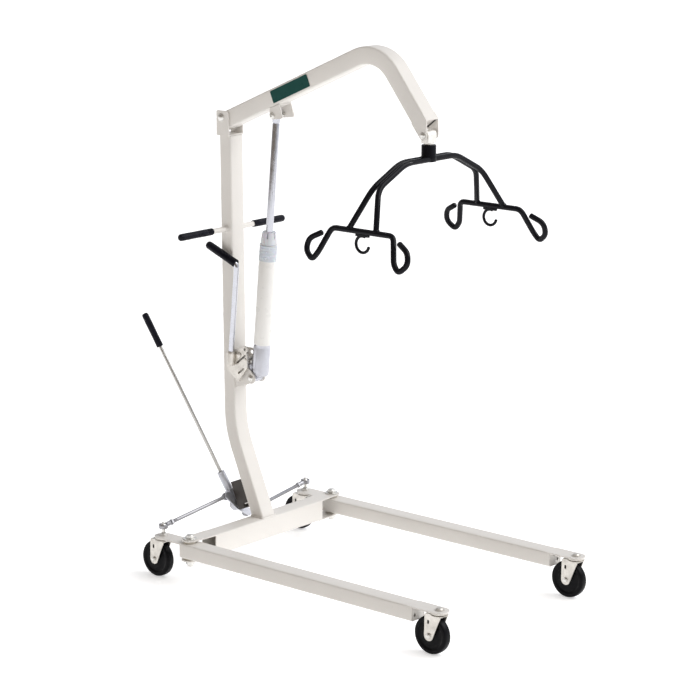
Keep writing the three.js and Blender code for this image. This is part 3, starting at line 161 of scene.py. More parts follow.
def loft(loops: Sequence[Sequence[Vector]], capped: bool = True, closed: bool = False) -> Solid:
    """Joins loops of equal length into a skin.

    Args:
        loops: the loops in order, each with the same number of corners.
        capped: whether the first and the last loop are filled.
        closed: whether the last loop joins the first.

    Returns:
        The skin.
    """
    count = len(loops[0])
    verts = [v.copy() for loop in loops for v in loop]
    faces: list[tuple[int, ...]] = []
    rows = len(loops)
    for row in range(rows if closed else rows - 1):
        here, there = row * count, ((row + 1) % rows) * count
        for k in range(count):
            m = (k + 1) % count
            faces.append((here + k, here + m, there + m, there + k))
    if capped and not closed:
        faces.append(tuple(reversed(range(count))))
        faces.append(tuple(range((rows - 1) * count, rows * count)))
    return Solid(verts, faces)


def lathe(profile: Sequence[Point], steps: int = 48) -> Solid:
    """Turns a profile of (radius, height) about z.

    Args:
        profile: the corners from the bottom up, closing on the axis or on itself.
        steps: how many faces go round.

    Returns:
        The turned solid.
    """
    closed = profile[0] == profile[-1] and profile[0][0] > 0
    rings = list(profile[:-1]) if closed else list(profile)
    loops = []
    for radius, height in rings:
        radius = max(radius, 1e-4)
        loops.append([
            Vector((radius * math.cos(a), radius * math.sin(a), height))
            for a in (2 * math.pi * i / steps for i in range(steps))
        ])
    return loft(loops, capped=not closed, closed=closed)


def disc(radius: float, z0: float, z1: float, soft: float = 0.6, steps: int = 40) -> Solid:
    """Makes a round bar along z whose two rims are softened.

    Args:
        radius: the bar's radius.
        z0: its lower end.
        z1: its upper end.
        soft: how far the rims are eased.
        steps: how many faces go round.

    Returns:
        The bar.
    """
    return lathe([
        (0, z0), (radius - soft, z0), (radius - 0.3 * soft, z0 + 0.3 * soft), (radius, z0 + soft),
        (radius, z1 - soft), (radius - 0.3 * soft, z1 - 0.3 * soft), (radius - soft, z1), (0, z1),
    ], steps)


def hexagon(across: float, z0: float, z1: float) -> Solid:
    """Makes a hexagon head or nut along z, its corners cut by a chamfer on each face.

    Args:
        across: half its width across corners.
        z0: its lower face.
        z1: its upper face.

    Returns:
        The head.
    """
    loops = []
    cut = across * 0.1
    for radius, z in ((across * 0.86, z0), (across, z0 + cut), (across, z1 - cut), (across * 0.86, z1)):
        loops.append([
            Vector((radius * math.cos(a), radius * math.sin(a), z))
            for a in (math.pi * i / 3 for i in range(6))
        ])
    return loft(loops)


def along_x(solid: Solid) -> Solid:
    """Lays a solid made along z along x."""
    return solid.turned("Y", 90)


def along_y(solid: Solid) -> Solid:
    """Lays a solid made along z along y."""
    return solid.turned("X", -90)


def rounded_rect(width: float, depth: float, radius: float, steps: int = 5) -> list[Point]:
    """Gives the outline of a rectangle with round corners, centred on (0, 0).

    Args:
        width: its size along the first axis.
        depth: its size along the second axis.
        radius: the corners' radius.
        steps: how many edges make one corner.

    Returns:
        The corners, counter-clockwise.
    """
    outline = []
    for quarter, (sx, sy) in enumerate(((1, 1), (-1, 1), (-1, -1), (1, -1))):
        cx, cy = sx * (width / 2 - radius), sy * (depth / 2 - radius)
        for i in range(steps + 1):
            angle = math.pi / 2 * (quarter + i / steps)
            outline.append((cx + radius * math.cos(angle), cy + radius * math.sin(angle)))
    return outline


def arc(cx: float, cy: float, radius: float, start: float, end: float, steps: int = 10) -> list[Point]:
    """Gives points on an arc.

    Args:
        cx: the centre's first coordinate.
        cy: the centre's second coordinate.
        radius: the arc's radius.
        start: the first angle in degrees.
        end: the last angle in degrees.
        steps: how many edges the arc has.

    Returns:
        The points from start to end.
    """
    angles = (math.radians(start + (end - start) * i / steps) for i in range(steps + 1))
    return [(cx + radius * math.cos(a), cy + radius * math.sin(a)) for a in angles]


def band(circles: Sequence[tuple[float, float, float]], steps: int = 40) -> list[Point]:
    """Gives the outline of a band drawn tight round several circles.

    Args:
        circles: each circle as (first coordinate, second coordinate, radius).
        steps: how many points each circle lends.

    Returns:
        The outline, counter-clockwise.
    """
    points = sorted({
        (
            round(u + r * math.cos(2 * math.pi * i / steps), 5),
            round(v + r * math.sin(2 * math.pi * i / steps), 5),
        )
        for u, v, r in circles
        for i in range(steps)
    })

    def half(ordered: Iterable[Point]) -> list[Point]:
        """Walks one side of the hull, without its last point.

        Args:
            ordered: the points in their order along this side.

        Returns:
            The side's points.
        """
        hull: list[Point] = []
        for p in ordered:
            while len(hull) > 1:
                (ax, ay), (bx, by) = hull[-2], hull[-1]
                if (bx - ax) * (p[1] - ay) - (by - ay) * (p[0] - ax) > 1e-6:
                    break
                hull.pop()
            hull.append(p)
        return hull[:-1]

    return half(points) + half(reversed(points))


def plate_x(outline: Sequence[Point], x0: float, x1: float) -> Solid:
    """Makes a plate from x0 to x1 whose outline is given in (y, z)."""
    return loft([[Vector((x, y, z)) for y, z in outline] for x in (x0, x1)])


def plate_y(outline: Sequence[Point], y0: float, y1: float) -> Solid:
    """Makes a plate from y0 to y1 whose outline is given in (x, z), counter-clockwise."""
    return loft([[Vector((x, y, z)) for x, z in outline] for y in (y1, y0)])


def plate_z(outline: Sequence[Point], z0: float, z1: float) -> Solid:
    """Makes a plate from z0 to z1 whose outline is given in (x, y)."""
    return loft([[Vector((x, y, z)) for x, y in outline] for z in (z0, z1)])


def block(x: Point, y: Point, z: Point) -> Solid:
    """Makes a block from three (low, high) pairs."""
    return plate_z([(x[0], y[0]), (x[1], y[0]), (x[1], y[1]), (x[0], y[1])], z[0], z[1])


def smooth_path(points: Sequence[Vector], radius: float, steps: int = 8) -> list[Vector]:
    """Rounds the corners of a run of straight lines.

    Args:
        points: the corners in order.
        radius: how far from each corner its curve starts.
        steps: how many edges each curve has.

    Returns:
        The points of the rounded run.
    """
    path = [points[0].copy()]
    for before, here, after in zip(points, points[1:], points[2:]):
        back, on = before - here, after - here
        reach = min(radius, back.length * 0.46, on.length * 0.46)
        enter, leave = here + back.normalized() * reach, here + on.normalized() * reach
        for i in range(steps + 1):
            t = i / steps
            path.append(enter * (1 - t) ** 2 + here * (2 * t * (1 - t)) + leave * t * t)
    path.append(points[-1].copy())
    return path


def frames(path: Sequence[Vector]) -> list[tuple[Vector, Vector, Vector]]:
    """Carries a pair of cross directions along a path without twist.

    Args:
        path: the points of the path.

    Returns:
        For each point its tangent and the two cross directions.
    """
    across = Vector((0.31, 0.83, 0.46))
    result = []
    for i in range(len(path)):
        tangent = (path[min(i + 1, len(path) - 1)] - path[max(i - 1, 0)]).normalized()
        across = (across - tangent * across.dot(tangent)).normalized()
        result.append((tangent, across, tangent.cross(across)))
    return result


def wire(path: Sequence[Vector], radius: float, sides: int = 20, round_ends: bool = True) -> Solid:
    """Sweeps a round rod along a path.

    Args:
        path: the points of the path.
        radius: the rod's radius.
        sides: how many faces go round.
        round_ends: whether the ends are eased, else they are flat.

    Returns:
        The rod.
    """
    stations: list[tuple[Vector, float]] = [(p, 1.0) for p in path]
    basis = frames(path)
    if round_ends:
        eased = [(1.0, 0.35), (0.75, 0.72), (0.35, 0.93)]
        first, last = basis[0][0], basis[-1][0]
        lead = [(path[0] - first * radius * 0.45 * a, b) for a, b in eased]
        tail = [(path[-1] + last * radius * 0.45 * a, b) for a, b in reversed(eased)]
        stations = lead + stations + tail
        basis = [basis[0]] * len(lead) + basis + [basis[-1]] * len(tail)
    loops = []
    for (centre, share), (_, u, v) in zip(stations, basis):
        loops.append([
            centre + (u * math.cos(a) + v * math.sin(a)) * radius * share
            for a in (2 * math.pi * k / sides for k in range(sides))
        ])
    return loft(loops)


def bar(start: Vector, end: Vector, radius: float, sides: int = 32, ends: bool = True) -> Solid:
    """Makes a straight round bar between two points."""
    return wire([start, end], radius, sides, ends)


def turned_between(start: Vector, end: Vector, profile: Sequence[Point], steps: int = 36) -> Solid:
    """Makes a turned piece whose axis runs between two points.

    Args:
        start: where the profile's height is 0.
        end: a point further along the axis.
        profile: (radius, height) corners.
        steps: how many faces go round.

    Returns:
        The piece in place.
    """
    turn = (end - start).to_track_quat("Z", "Y").to_matrix().to_4x4()
    return lathe(profile, steps).through(Matrix.Translation(start) @ turn)


def box_tube(
    stations: Sequence[tuple[Vector, Vector, Vector]], width: float, depth: float, wall: float, radius: float
) -> Solid:
    """Makes a hollow rectangular tube, open at both ends.

    Args:
        stations: along the run, the section's centre and its two cross directions.
        width: the section's size along the first direction.
        depth: its size along the second direction.
        wall: the wall's thickness.
        radius: the outer corner radius.

    Returns:
        The tube.
    """
    def ring(outline: Sequence[Point], centre: Vector, u: Vector, v: Vector) -> list[Vector]:
        """Returns one section in place."""
        return [centre + u * a + v * b for a, b in outline]

    outer = rounded_rect(width, depth, radius)
    inner = rounded_rect(width - 2 * wall, depth - 2 * wall, max(radius - wall, 0.8))
    going = [ring(outer, *s) for s in stations]
    coming = [ring(inner, *s) for s in reversed(stations)]
    return loft(going + coming, closed=True)


# ---------- placing pieces


@dataclass(frozen=True)
class Yard:
    """Carries millimetres in the hoist's axes into the frame's metres."""

    shift_y: float

    @classmethod
    def from_joints(cls, joints: Sequence[dict]) -> "Yard":
        """Finds the hoist's own origin from the left leg's pivot.

        Args:
            joints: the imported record's joints.

        Returns:
            The yard.
        """
        pivot = next(j for j in joints if j["name"] == "leg_spread_left")["pos_m"]
        return cls(shift_y=pivot[1] / MM)

    def metres(self, v: Vector) -> Vector:
        """Returns a point in the frame's metres."""
        return Vector((v.x, v.y + self.shift_y, v.z)) * MM


def recessed(solid: Solid, name: str) -> bpy.types.Object:
    """Makes a bare object from a solid, still in millimetres.

    Args:
        solid: the mesh.
        name: the object's name.

    Returns:
        The object, linked to the scene.
    """
    mesh = bpy.data.meshes.new(name)
    mesh.from_pydata([v[:] for v in solid.verts], [], solid.faces)
    obj = bpy.data.objects.new(name, mesh)
    bpy.context.scene.collection.objects.link(obj)
    return obj


def carved(solid: Solid, cutters: Sequence[Solid]) -> Solid:
    """Cuts solids out of another.

    Args:
        solid: what is cut.
        cutters: what is taken away.

    Returns:
        The rest.
    """
    whole = recessed(solid, "carve_whole")
    tools = [recessed(c, "carve_tool") for c in cutters]
    for tool in tools:
        cut = whole.modifiers.new("cut", "BOOLEAN")
        cut.operation = "DIFFERENCE"
        cut.solver = "EXACT"
        cut.use_self = True
        cut.object = tool
    bpy.context.view_layer.update()
    result = whole.evaluated_get(bpy.context.evaluated_depsgraph_get())
    mesh = result.to_mesh()
    rest = Solid([v.co.copy() for v in mesh.vertices], [tuple(p.vertices) for p in mesh.polygons])
    result.to_mesh_clear()
    for obj in (whole, *tools):
        data = obj.data
        bpy.data.objects.remove(obj)
        bpy.data.meshes.remove(data)
    return rest


@dataclass
class Workshop:
    """Turns solids into finished pieces on the right body."""

    yard: Yard
    made: int = 0

    def piece(
        self,
        name: str,
        solid: Solid,
        finish: "Finish",
        body: str,
        replaces: Sequence[str] = (),
        edge: Edge = Edge.NONE,
    ) -> bpy.types.Object:
        """Makes one visible piece.

        Args:
            name: the piece's name.
            solid: its mesh in millimetres.
            finish: its material.
            body: the CAD body that it moves with.
            replaces: the CAD nodes that it stands for.
            edge: how its corners are rounded.

        Returns:
            The object.
        """
        mesh = bpy.data.meshes.new(name)
        mesh.from_pydata([self.yard.metres(v)[:] for v in solid.verts], [], solid.faces)
        work = bmesh.new()
        work.from_mesh(mesh)
        bmesh.ops.remove_doubles(work, verts=work.verts, dist=2e-6)
        bmesh.ops.recalc_face_normals(work, faces=work.faces)
        work.to_mesh(mesh)
        work.free()
        mesh.shade_smooth()
        mesh.set_sharp_from_angle(angle=math.radians(34))
        obj = bpy.data.objects.new(name, mesh)
        bpy.context.scene.collection.objects.link(obj)
        if edge is not Edge.NONE:
            bevel = obj.modifiers.new("eased edges", "BEVEL")
            bevel.width = edge.value * MM
            bevel.segments = 3
            bevel.limit_method = "ANGLE"
            bevel.angle_limit = math.radians(34)
            bevel.harden_normals = True
        mesh.materials.append(finish.material())
        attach(obj, body)
        if replaces:
            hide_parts(*replaces)
        self.made += 1
        LOG.info("piece %s on %s", name, body)
        return obj


# ---------- finishes


class Nodes:
    """Short ways to add shader nodes to a material."""

    def __init__(self, name: str) -> None:
        """Starts a material with one principled shader.

        Args:
            name: the material's name.
        """
        self.mat = bpy.data.materials.new(name)
        self.mat.use_nodes = True
        self.tree = self.mat.node_tree
        self.shader = self.tree.nodes["Principled BSDF"]
        self.coords = self.tree.nodes.new("ShaderNodeTexCoord").outputs["Object"]

    def set(self, **sockets: float | tuple) -> None:
        """Sets the shader's own sockets; an underscore stands for a space."""
        for key, value in sockets.items():
            self.shader.inputs[key.replace("_", " ")].default_value = value

    def link(self, out: Socket, socket: str) -> None:
        """Joins an output to one of the shader's sockets."""
        self.tree.links.new(out, self.shader.inputs[socket])

    def stretched(self, scale: Sequence[float]) -> Socket:
        """Stretches the coordinates along each axis.

        Args:
            scale: the factors along x, y and z.

        Returns:
            The coordinates' socket.
        """
        node = self.tree.nodes.new("ShaderNodeMapping")
        node.inputs["Scale"].default_value = scale
        self.tree.links.new(self.coords, node.inputs["Vector"])
        return node.outputs["Vector"]

    def noise(
        self, scale: float, detail: float = 2.0, rough: float = 0.5, at: Socket | None = None
    ) -> Socket:
        """Adds a noise texture.

        Args:
            scale: how fine it is, per metre.
            detail: its number of octaves.
            rough: how strong the finer octaves are.
            at: the coordinates that it reads, or the object's.

        Returns:
            The noise's value.
        """
        node = self.tree.nodes.new("ShaderNodeTexNoise")
        node.inputs["Scale"].default_value = scale
        node.inputs["Detail"].default_value = detail
        node.inputs["Roughness"].default_value = rough
        self.tree.links.new(at or self.coords, node.inputs["Vector"])
        return node.outputs["Fac"]

    def flakes(self, scale: float) -> Socket:
        """Adds a cell texture and returns each cell's brightness.

        Args:
            scale: how small the cells are.

        Returns:
            The brightness socket.
        """
        node = self.tree.nodes.new("ShaderNodeTexVoronoi")
        node.inputs["Scale"].default_value = scale
        self.tree.links.new(self.coords, node.inputs["Vector"])
        split = self.tree.nodes.new("ShaderNodeSeparateColor")
        self.tree.links.new(node.outputs["Color"], split.inputs["Color"])
        return split.outputs["Red"]

    def spread(
        self, value: Socket, low: float, high: float, start: float = 0.3, end: float = 0.7
    ) -> Socket:
        """Maps a value from start..end to low..high, held at both ends.

        Args:
            value: what is mapped.
            low: the result at start.
            high: the result at end.
            start: where the mapping begins.
            end: where it stops.

        Returns:
            The mapped value.
        """
        node = self.tree.nodes.new("ShaderNodeMapRange")
        for key, number in (("From Min", start), ("From Max", end), ("To Min", low), ("To Max", high)):
            node.inputs[key].default_value = number
        self.tree.links.new(value, node.inputs["Value"])
        return node.outputs["Result"]

    def height(self) -> Socket:
        """Reads the height above the floor, in metres.

        Returns:
            The height's socket.
        """
        node = self.tree.nodes.new("ShaderNodeSeparateXYZ")
        self.tree.links.new(self.coords, node.inputs["Vector"])
        return node.outputs["Z"]

    def product(self, a: Socket, b: Socket) -> Socket:
        """Multiplies two values.

        Args:
            a: the first value.
            b: the second value.

        Returns:
            The product's socket.
        """
        node = self.tree.nodes.new("ShaderNodeMath")
        node.operation = "MULTIPLY"
        self.tree.links.new(a, node.inputs[0])
        self.tree.links.new(b, node.inputs[1])
        return node.outputs["Value"]

    def blend(
        self, share: Socket, a: Sequence[float], b: Sequence[float] | Socket
    ) -> Socket:
        """Mixes two colours.

        Args:
            share: 0 gives the first, 1 the second.
            a: the first colour, or a socket that gives it.
            b: the second colour.

        Returns:
            The mixed colour.
        """
        node = self.tree.nodes.new("ShaderNodeMix")
        node.data_type = "RGBA"
        self.tree.links.new(share, node.inputs["Factor"])
        for key, colour in (("A", a), ("B", b)):
            socket = next(s for s in node.inputs if s.name == key and s.type == "RGBA")
            if isinstance(colour, Socket):
                self.tree.links.new(colour, socket)
            else:
                socket.default_value = (*colour, 1.0)
        return next(s for s in node.outputs if s.type == "RGBA")

    def bump(self, *layers: tuple[Socket, float, float]) -> None:
        """Stacks bump layers on the shader.

        Args:
            layers: each as (height, strength, depth in metres).
        """
        normal = None
        for value, strength, depth in layers:
            node = self.tree.nodes.new("ShaderNodeBump")
            node.inputs["Strength"].default_value = strength
            node.inputs["Distance"].default_value = depth
            self.tree.links.new(value, node.inputs["Height"])
            if normal is not None:
                self.tree.links.new(normal, node.inputs["Normal"])
            normal = node.outputs["Normal"]
        self.link(normal, "Normal")


Colour = tuple[float, float, float]


def shade(colour: Colour, by: float) -> Colour:
    """Returns a colour made lighter or darker by a factor."""
    return tuple(min(1.0, c * by) for c in colour)


@dataclass(frozen=True)
class Finish:
    """A surface finish; each kind builds its own material once."""

    name: str
    slot: str
    colour: Colour

    def material(self) -> Material:
        """Returns the material, made on first use."""
        found = bpy.data.materials.get(self.name)
        return found if found is not None else self.build(Nodes(self.name))

    def build(self, n: Nodes) -> Material:
        """Builds the node tree.

        Args:
            n: the new material's nodes.

        Returns:
            The material.
        """
        raise NotImplementedError


@dataclass(frozen=True)
class PowderCoat(Finish):
    """Baked powder coat: faint orange peel, slight colour drift, scuffs low down."""

    roughness: float = 0.38
    peel: float = 0.12
    scuff: Colour = (0.45, 0.40, 0.34)
    scuff_share: float = 0.35

    def build(self, n: Nodes) -> Material:
        """Builds the node tree; see Finish.build.

        Args:
            n: the material's nodes.

        Returns:
            The material.
        """
        drift = n.blend(
            n.spread(n.noise(5.0, 3.0), 0.0, 1.0), shade(self.colour, 0.965), shade(self.colour, 1.02),
        )
        low = n.spread(n.height(), self.scuff_share, 0.0, 0.0, 0.22)
        specks = n.spread(n.noise(150.0, 6.0, 0.7), 0.0, 1.0, 0.62, 0.74)
        colour = n.blend(n.product(low, specks), drift, self.scuff)
        n.link(colour, "Base Color")
        n.link(n.spread(n.noise(38.0, 4.0), self.roughness - 0.05, self.roughness + 0.09), "Roughness")
        n.bump((n.noise(420.0, 2.0), self.peel, 0.0004), (n.noise(30.0, 2.0), 0.05, 0.0008))
        n.set(IOR=1.5)
        return n.mat


@dataclass(frozen=True)
class BrightSteel(Finish):
    """Polished chrome or bright zinc: fine draw lines, cloudy roughness."""

    roughness: float = 0.14
    cloud: float = 0.08
    lines: float = 0.03
    along: tuple[float, float, float] = (900.0, 900.0, 30.0)

    def build(self, n: Nodes) -> Material:
        """Builds the node tree; see Finish.build.

        Args:
            n: the material's nodes.

        Returns:
            The material.
        """
        cloud = n.noise(60.0, 4.0)
        n.link(
            n.blend(n.spread(cloud, 0.0, 1.0), shade(self.colour, 0.93), shade(self.colour, 1.03)),
            "Base Color",
        )
        n.link(n.spread(cloud, self.roughness, self.roughness + self.cloud), "Roughness")
        n.bump((n.noise(1.0, 2.0, 0.5, n.stretched(self.along)), self.lines, 0.0002))
        n.set(Metallic=1.0)
        return n.mat


@dataclass(frozen=True)
class ZincPlate(Finish):
    """Zinc-plated pressed steel: spangle, dull patches and fine pits."""

    roughness: float = 0.30

    def build(self, n: Nodes) -> Material:
        """Builds the node tree; see Finish.build.

        Args:
            n: the material's nodes.

        Returns:
            The material.
        """
        spangle = n.flakes(260.0)
        stain = n.spread(n.noise(45.0, 5.0, 0.6), 0.0, 1.0, 0.35, 0.7)
        tone = n.blend(spangle, shade(self.colour, 0.92), shade(self.colour, 1.04))
        n.link(n.blend(stain, tone, shade(self.colour, 0.8)), "Base Color")
        n.link(n.spread(stain, self.roughness, self.roughness + 0.16, 0.0, 1.0), "Roughness")
        n.bump((n.noise(700.0, 3.0), 0.10, 0.0002), (n.noise(90.0, 2.0), 0.06, 0.0004))
        n.set(Metallic=0.85)
        return n.mat


@dataclass(frozen=True)
class CastAlloy(Finish):
    """Sand-cast alloy: grainy skin with darker pores."""

    roughness: float = 0.42

    def build(self, n: Nodes) -> Material:
        """Builds the node tree; see Finish.build.

        Args:
            n: the material's nodes.

        Returns:
            The material.
        """
        grain = n.noise(520.0, 4.0, 0.65)
        pores = n.spread(grain, 1.0, 0.0, 0.3, 0.42)
        n.link(n.blend(pores, self.colour, shade(self.colour, 0.7)), "Base Color")
        n.link(n.spread(n.noise(70.0, 3.0), self.roughness - 0.06, self.roughness + 0.12), "Roughness")
        n.bump((grain, 0.30, 0.0004), (n.noise(60.0, 2.0), 0.10, 0.001))
        n.set(Metallic=0.75)
        return n.mat


@dataclass(frozen=True)
class GlossCoat(Finish):
    """Deep gloss black coat over bent rod, with slow waves and a clear top."""

    roughness: float = 0.12

    def build(self, n: Nodes) -> Material:
        """Builds the node tree; see Finish.build.

        Args:
            n: the material's nodes.

        Returns:
            The material.
        """
        n.link(n.blend(n.noise(14.0, 3.0), self.colour, shade(self.colour, 1.9)), "Base Color")
        n.link(n.spread(n.noise(55.0, 4.0), self.roughness, self.roughness + 0.14), "Roughness")
        n.bump((n.noise(170.0, 3.0), 0.07, 0.0005), (n.noise(26.0, 2.0), 0.10, 0.001))
        n.set(Coat_Weight=0.14, Coat_Roughness=0.04, Specular_IOR_Level=0.06)
        return n.mat


@dataclass(frozen=True)
class Vinyl(Finish):
    """Dipped vinyl or hard rubber: soft sheen, fine skin, and noise patches of a second colour, which are
    dust on most finishes and a painted bluish sheen on the grip.
    """

    roughness: float = 0.34
    grain: float = 0.14
    dust_and_sheen: Colour = (0.10, 0.10, 0.13)
    dust_and_sheen_share: float = 0.35

    def build(self, n: Nodes) -> Material:
        """Builds the node tree; see Finish.build.

        Args:
            n: the material's nodes.

        Returns:
            The material.
        """
        # Noise patches blended toward a second colour: real dust and tone on the wheel, label and sleeve, a
        # painted bluish sheen on the black grip.
        dust_and_sheen = n.spread(n.noise(32.0, 5.0, 0.6), 0.0, self.dust_and_sheen_share, 0.42, 0.75)
        n.link(n.blend(dust_and_sheen, self.colour, self.dust_and_sheen), "Base Color")
        n.link(n.spread(n.noise(80.0, 4.0), self.roughness - 0.06, self.roughness + 0.14), "Roughness")
        n.bump((n.noise(900.0, 2.0), self.grain, 0.0003), (n.noise(48.0, 2.0), 0.08, 0.0008))
        n.set(Specular_IOR_Level=0.1)
        return n.mat


@dataclass(frozen=True)
class ClearPlastic(Finish):
    """Milky moulded plastic with a soft inner glow."""

    roughness: float = 0.16

    def build(self, n: Nodes) -> Material:
        """Builds the node tree; see Finish.build.

        Args:
            n: the material's nodes.

        Returns:
            The material.
        """
        n.link(n.blend(n.noise(40.0, 3.0), shade(self.colour, 0.93), self.colour), "Base Color")
        n.link(n.spread(n.noise(90.0, 3.0), self.roughness, self.roughness + 0.12), "Roughness")
        n.bump((n.noise(300.0, 2.0), 0.05, 0.0003))
        n.set(Transmission_Weight=0.25, Subsurface_Weight=0.15, Subsurface_Scale=0.004)
        return n.mat


@dataclass(frozen=True)
class PaleFloor(Finish):
    """Even pale studio floor with a barely visible grain."""

    glow: float = 0.50

    def build(self, n: Nodes) -> Material:
        """Builds the node tree; see Finish.build.

        Args:
            n: the material's nodes.

        Returns:
            The material.
        """
        n.link(n.blend(n.noise(3.0, 3.0), shade(self.colour, 0.99), self.colour), "Base Color")
        n.bump((n.noise(160.0, 2.0), 0.02, 0.0003))
        n.set(Roughness=0.9, Specular_IOR_Level=0.0)
        n.set(Emission_Color=(1.0, 1.0, 1.0, 1.0), Emission_Strength=self.glow)
        return n.mat


CREAM = PowderCoat("cream_powder_coat", "powder", (0.765, 0.738, 0.698))
BARREL_WHITE = PowderCoat("barrel_white_paint", "white_tube", (0.84, 0.83, 0.80), 0.30, 0.05)
DARK_PAINT = PowderCoat(
    "dark_bracket_paint", "dark_steel", (0.045, 0.038, 0.034), 0.45, 0.25, (0.2, 0.18, 0.16), 0.2,
)
CHROME = BrightSteel("polished_chrome", "chrome", (0.60, 0.61, 0.66))
BRIGHT_ZINC = BrightSteel("bright_zinc", "zinc", (0.74, 0.73, 0.70), 0.24, 0.14, 0.05)
SATIN_ROD = BrightSteel("satin_lever_rod", "chrome", (0.52, 0.51, 0.49), 0.22, 0.12, 0.05)
TIE_STEEL = BrightSteel("grey_tie_rod_steel", "chrome", (0.40, 0.40, 0.42), 0.30, 0.14, 0.05)
PRESSED_ZINC = ZincPlate("pressed_zinc", "zinc", (0.74, 0.71, 0.66))
ALLOY = CastAlloy("cast_alloy", "cast", (0.60, 0.61, 0.66))
BLACK_COAT = GlossCoat("black_gloss_coat", "black_gloss", (0.004, 0.004, 0.006))
# The grip's bluish second colour is a painted sheen, not dust.
GRIP = Vinyl("black_vinyl_grip", "grip", (0.005, 0.005, 0.009), 0.26, 0.16, (0.025, 0.025, 0.045))
WHEEL = Vinyl("moulded_black_wheel", "wheel", (0.002, 0.002, 0.003), 0.33, 0.10, (0.008, 0.007, 0.009))
LABEL_GREEN = Vinyl("plain_green_label", "label", (0.006, 0.060, 0.050), 0.30, 0.04, (0.02, 0.10, 0.09), 0.25)
SLEEVE_NYLON = Vinyl("natural_nylon", "nylon", (0.72, 0.68, 0.60), 0.5, 0.1, (0.5, 0.46, 0.4))
HANGER_ZINC = ZincPlate("pale_zinc_block", "zinc", (0.88, 0.86, 0.82), 0.42)
SIGHT = ClearPlastic("clear_sight_sleeve", "collar", (0.80, 0.81, 0.87))
COLLAR = ClearPlastic("milky_collar", "collar", (0.80, 0.81, 0.86))


# ---------- hardware


@dataclass(frozen=True)
class Hardware:
    """Bolts, nuts and washers that several sub-assemblies share."""

    def bolt(self, shank: float, head: float, height: float, reach: float) -> Solid:
        """Makes a cross bolt along x with a round head at each end.

        Args:
            shank: the shank's radius.
            head: the heads' radius.
            height: how far each head stands out.
            reach: where the heads' seats are, from the middle.

        Returns:
            The bolt, centred on the origin.
        """
        dome = [
            (head, reach), (head, reach + 0.35 * height), (head * 0.9, reach + 0.65 * height),
            (head * 0.62, reach + 0.9 * height), (head * 0.3, reach + height), (0, reach + height),
        ]
        washer_r, washer = head * 1.12, 0.25
        upper = [
            (0, 0), (shank, 0), (shank, reach), (washer_r, reach), (washer_r, reach + washer * height),
            *dome[1:],
        ]
        half = lathe(upper, 32)
        other = half.through(Matrix.Scale(-1, 4, Vector((0, 0, 1))))
        return along_x(union([half, other]))


# ---------- base frame


@dataclass(frozen=True)
class BaseFrame:
    """Cross tube of the base with its two leg pivots."""

    bottom: float = 70.0
    top: float = 129.0
    front: float = -29.0
    rear: float = 25.0
    wall: float = 3.0
    wall_end: float = 221.0
    pivot_x: float = 293.0
    tip_radius: float = 24.0
    corner: float = 4.5

    def tube(self) -> Solid:
        """Makes the closed middle of the cross tube.

        Returns:
            The tube.
        """
        middle_y, middle_z = (self.front + self.rear) / 2, (self.top + self.bottom) / 2
        stations = [
            (Vector((x, middle_y, middle_z)), Vector((0, 1, 0)), Vector((0, 0, 1)))
            for x in (-self.wall_end, self.wall_end)
        ]
        return box_tube(stations, self.rear - self.front, self.top - self.bottom, self.wall, self.corner)

    def flange(self, side: int, z0: float, z1: float) -> Solid:
        """Makes one pivot flange from z0 to z1, with its bolt hole.

        Args:
            side: -1 for the left, 1 for the right.
            z0: the lower face.
            z1: the upper face.

        Returns:
            The flange, mirrored for the left.
        """
        root = self.wall_end - 14
        outline = [(root, self.front + 0.2)]
        outline += [(self.wall_end, self.front + 0.2)]
        outline += arc(self.pivot_x, 0, self.tip_radius, -70, 90, 20)
        outline += [(self.wall_end, self.rear - 0.2), (root, self.rear - 0.2)]
        plate = plate_z(outline, z0, z1)
        hole = disc(8.3, z0 - 2, z1 + 2, 0.1).moved(self.pivot_x, 0, 0)
        cut = carved(plate, [hole])
        return cut if side > 0 else cut.mirrored()

    def pivot_bolt(self) -> Solid:
        """Makes a leg pivot's bolt with its washer, domed cap nut and lower nut.

        Returns:
            The pivot bolt.
        """
        seat, under = self.top + 0.3, self.bottom - 0.3
        washer = disc(18, seat, seat + 3, 0.5)
        cap = hexagon(13, seat + 3, seat + 8.5)
        dome = lathe([
            (0, seat + 14), (4, seat + 13.7), (8, seat + 12.6), (10.2, seat + 10.5), (10.4, seat + 8),
            (0, seat + 8),
        ], 32)
        shank = disc(8, under - 18, seat + 4, 0.8)
        return union(
            [washer, cap, dome, shank, hexagon(12, under - 13, under), disc(14.5, under - 1.6, under, 0.4)]
        )

    def build(self, shop: Workshop) -> None:
        """Builds the cross tube and both pivots.

        Args:
            shop: the workshop that takes the pieces.
        """
        plates = [
            self.flange(s, *z)
            for s in (-1, 1)
            for z in ((self.top - 3, self.top - 0.02), (self.bottom + 0.02, self.bottom + 3))
        ]
        shop.piece("cross_tube", self.tube(), CREAM, "base", ["crossmember"], Edge.PLATE)
        shop.piece("cross_tube_flanges", union(plates), CREAM, "base", (), Edge.PLATE)
        for name, side in SIDES:
            bolt = self.pivot_bolt().moved(side * self.pivot_x, 0, 0)
            shop.piece(f"pivot_bolt_{name}", bolt, BRIGHT_ZINC, "base", [f"leg_pivot_bolt_{name}"])


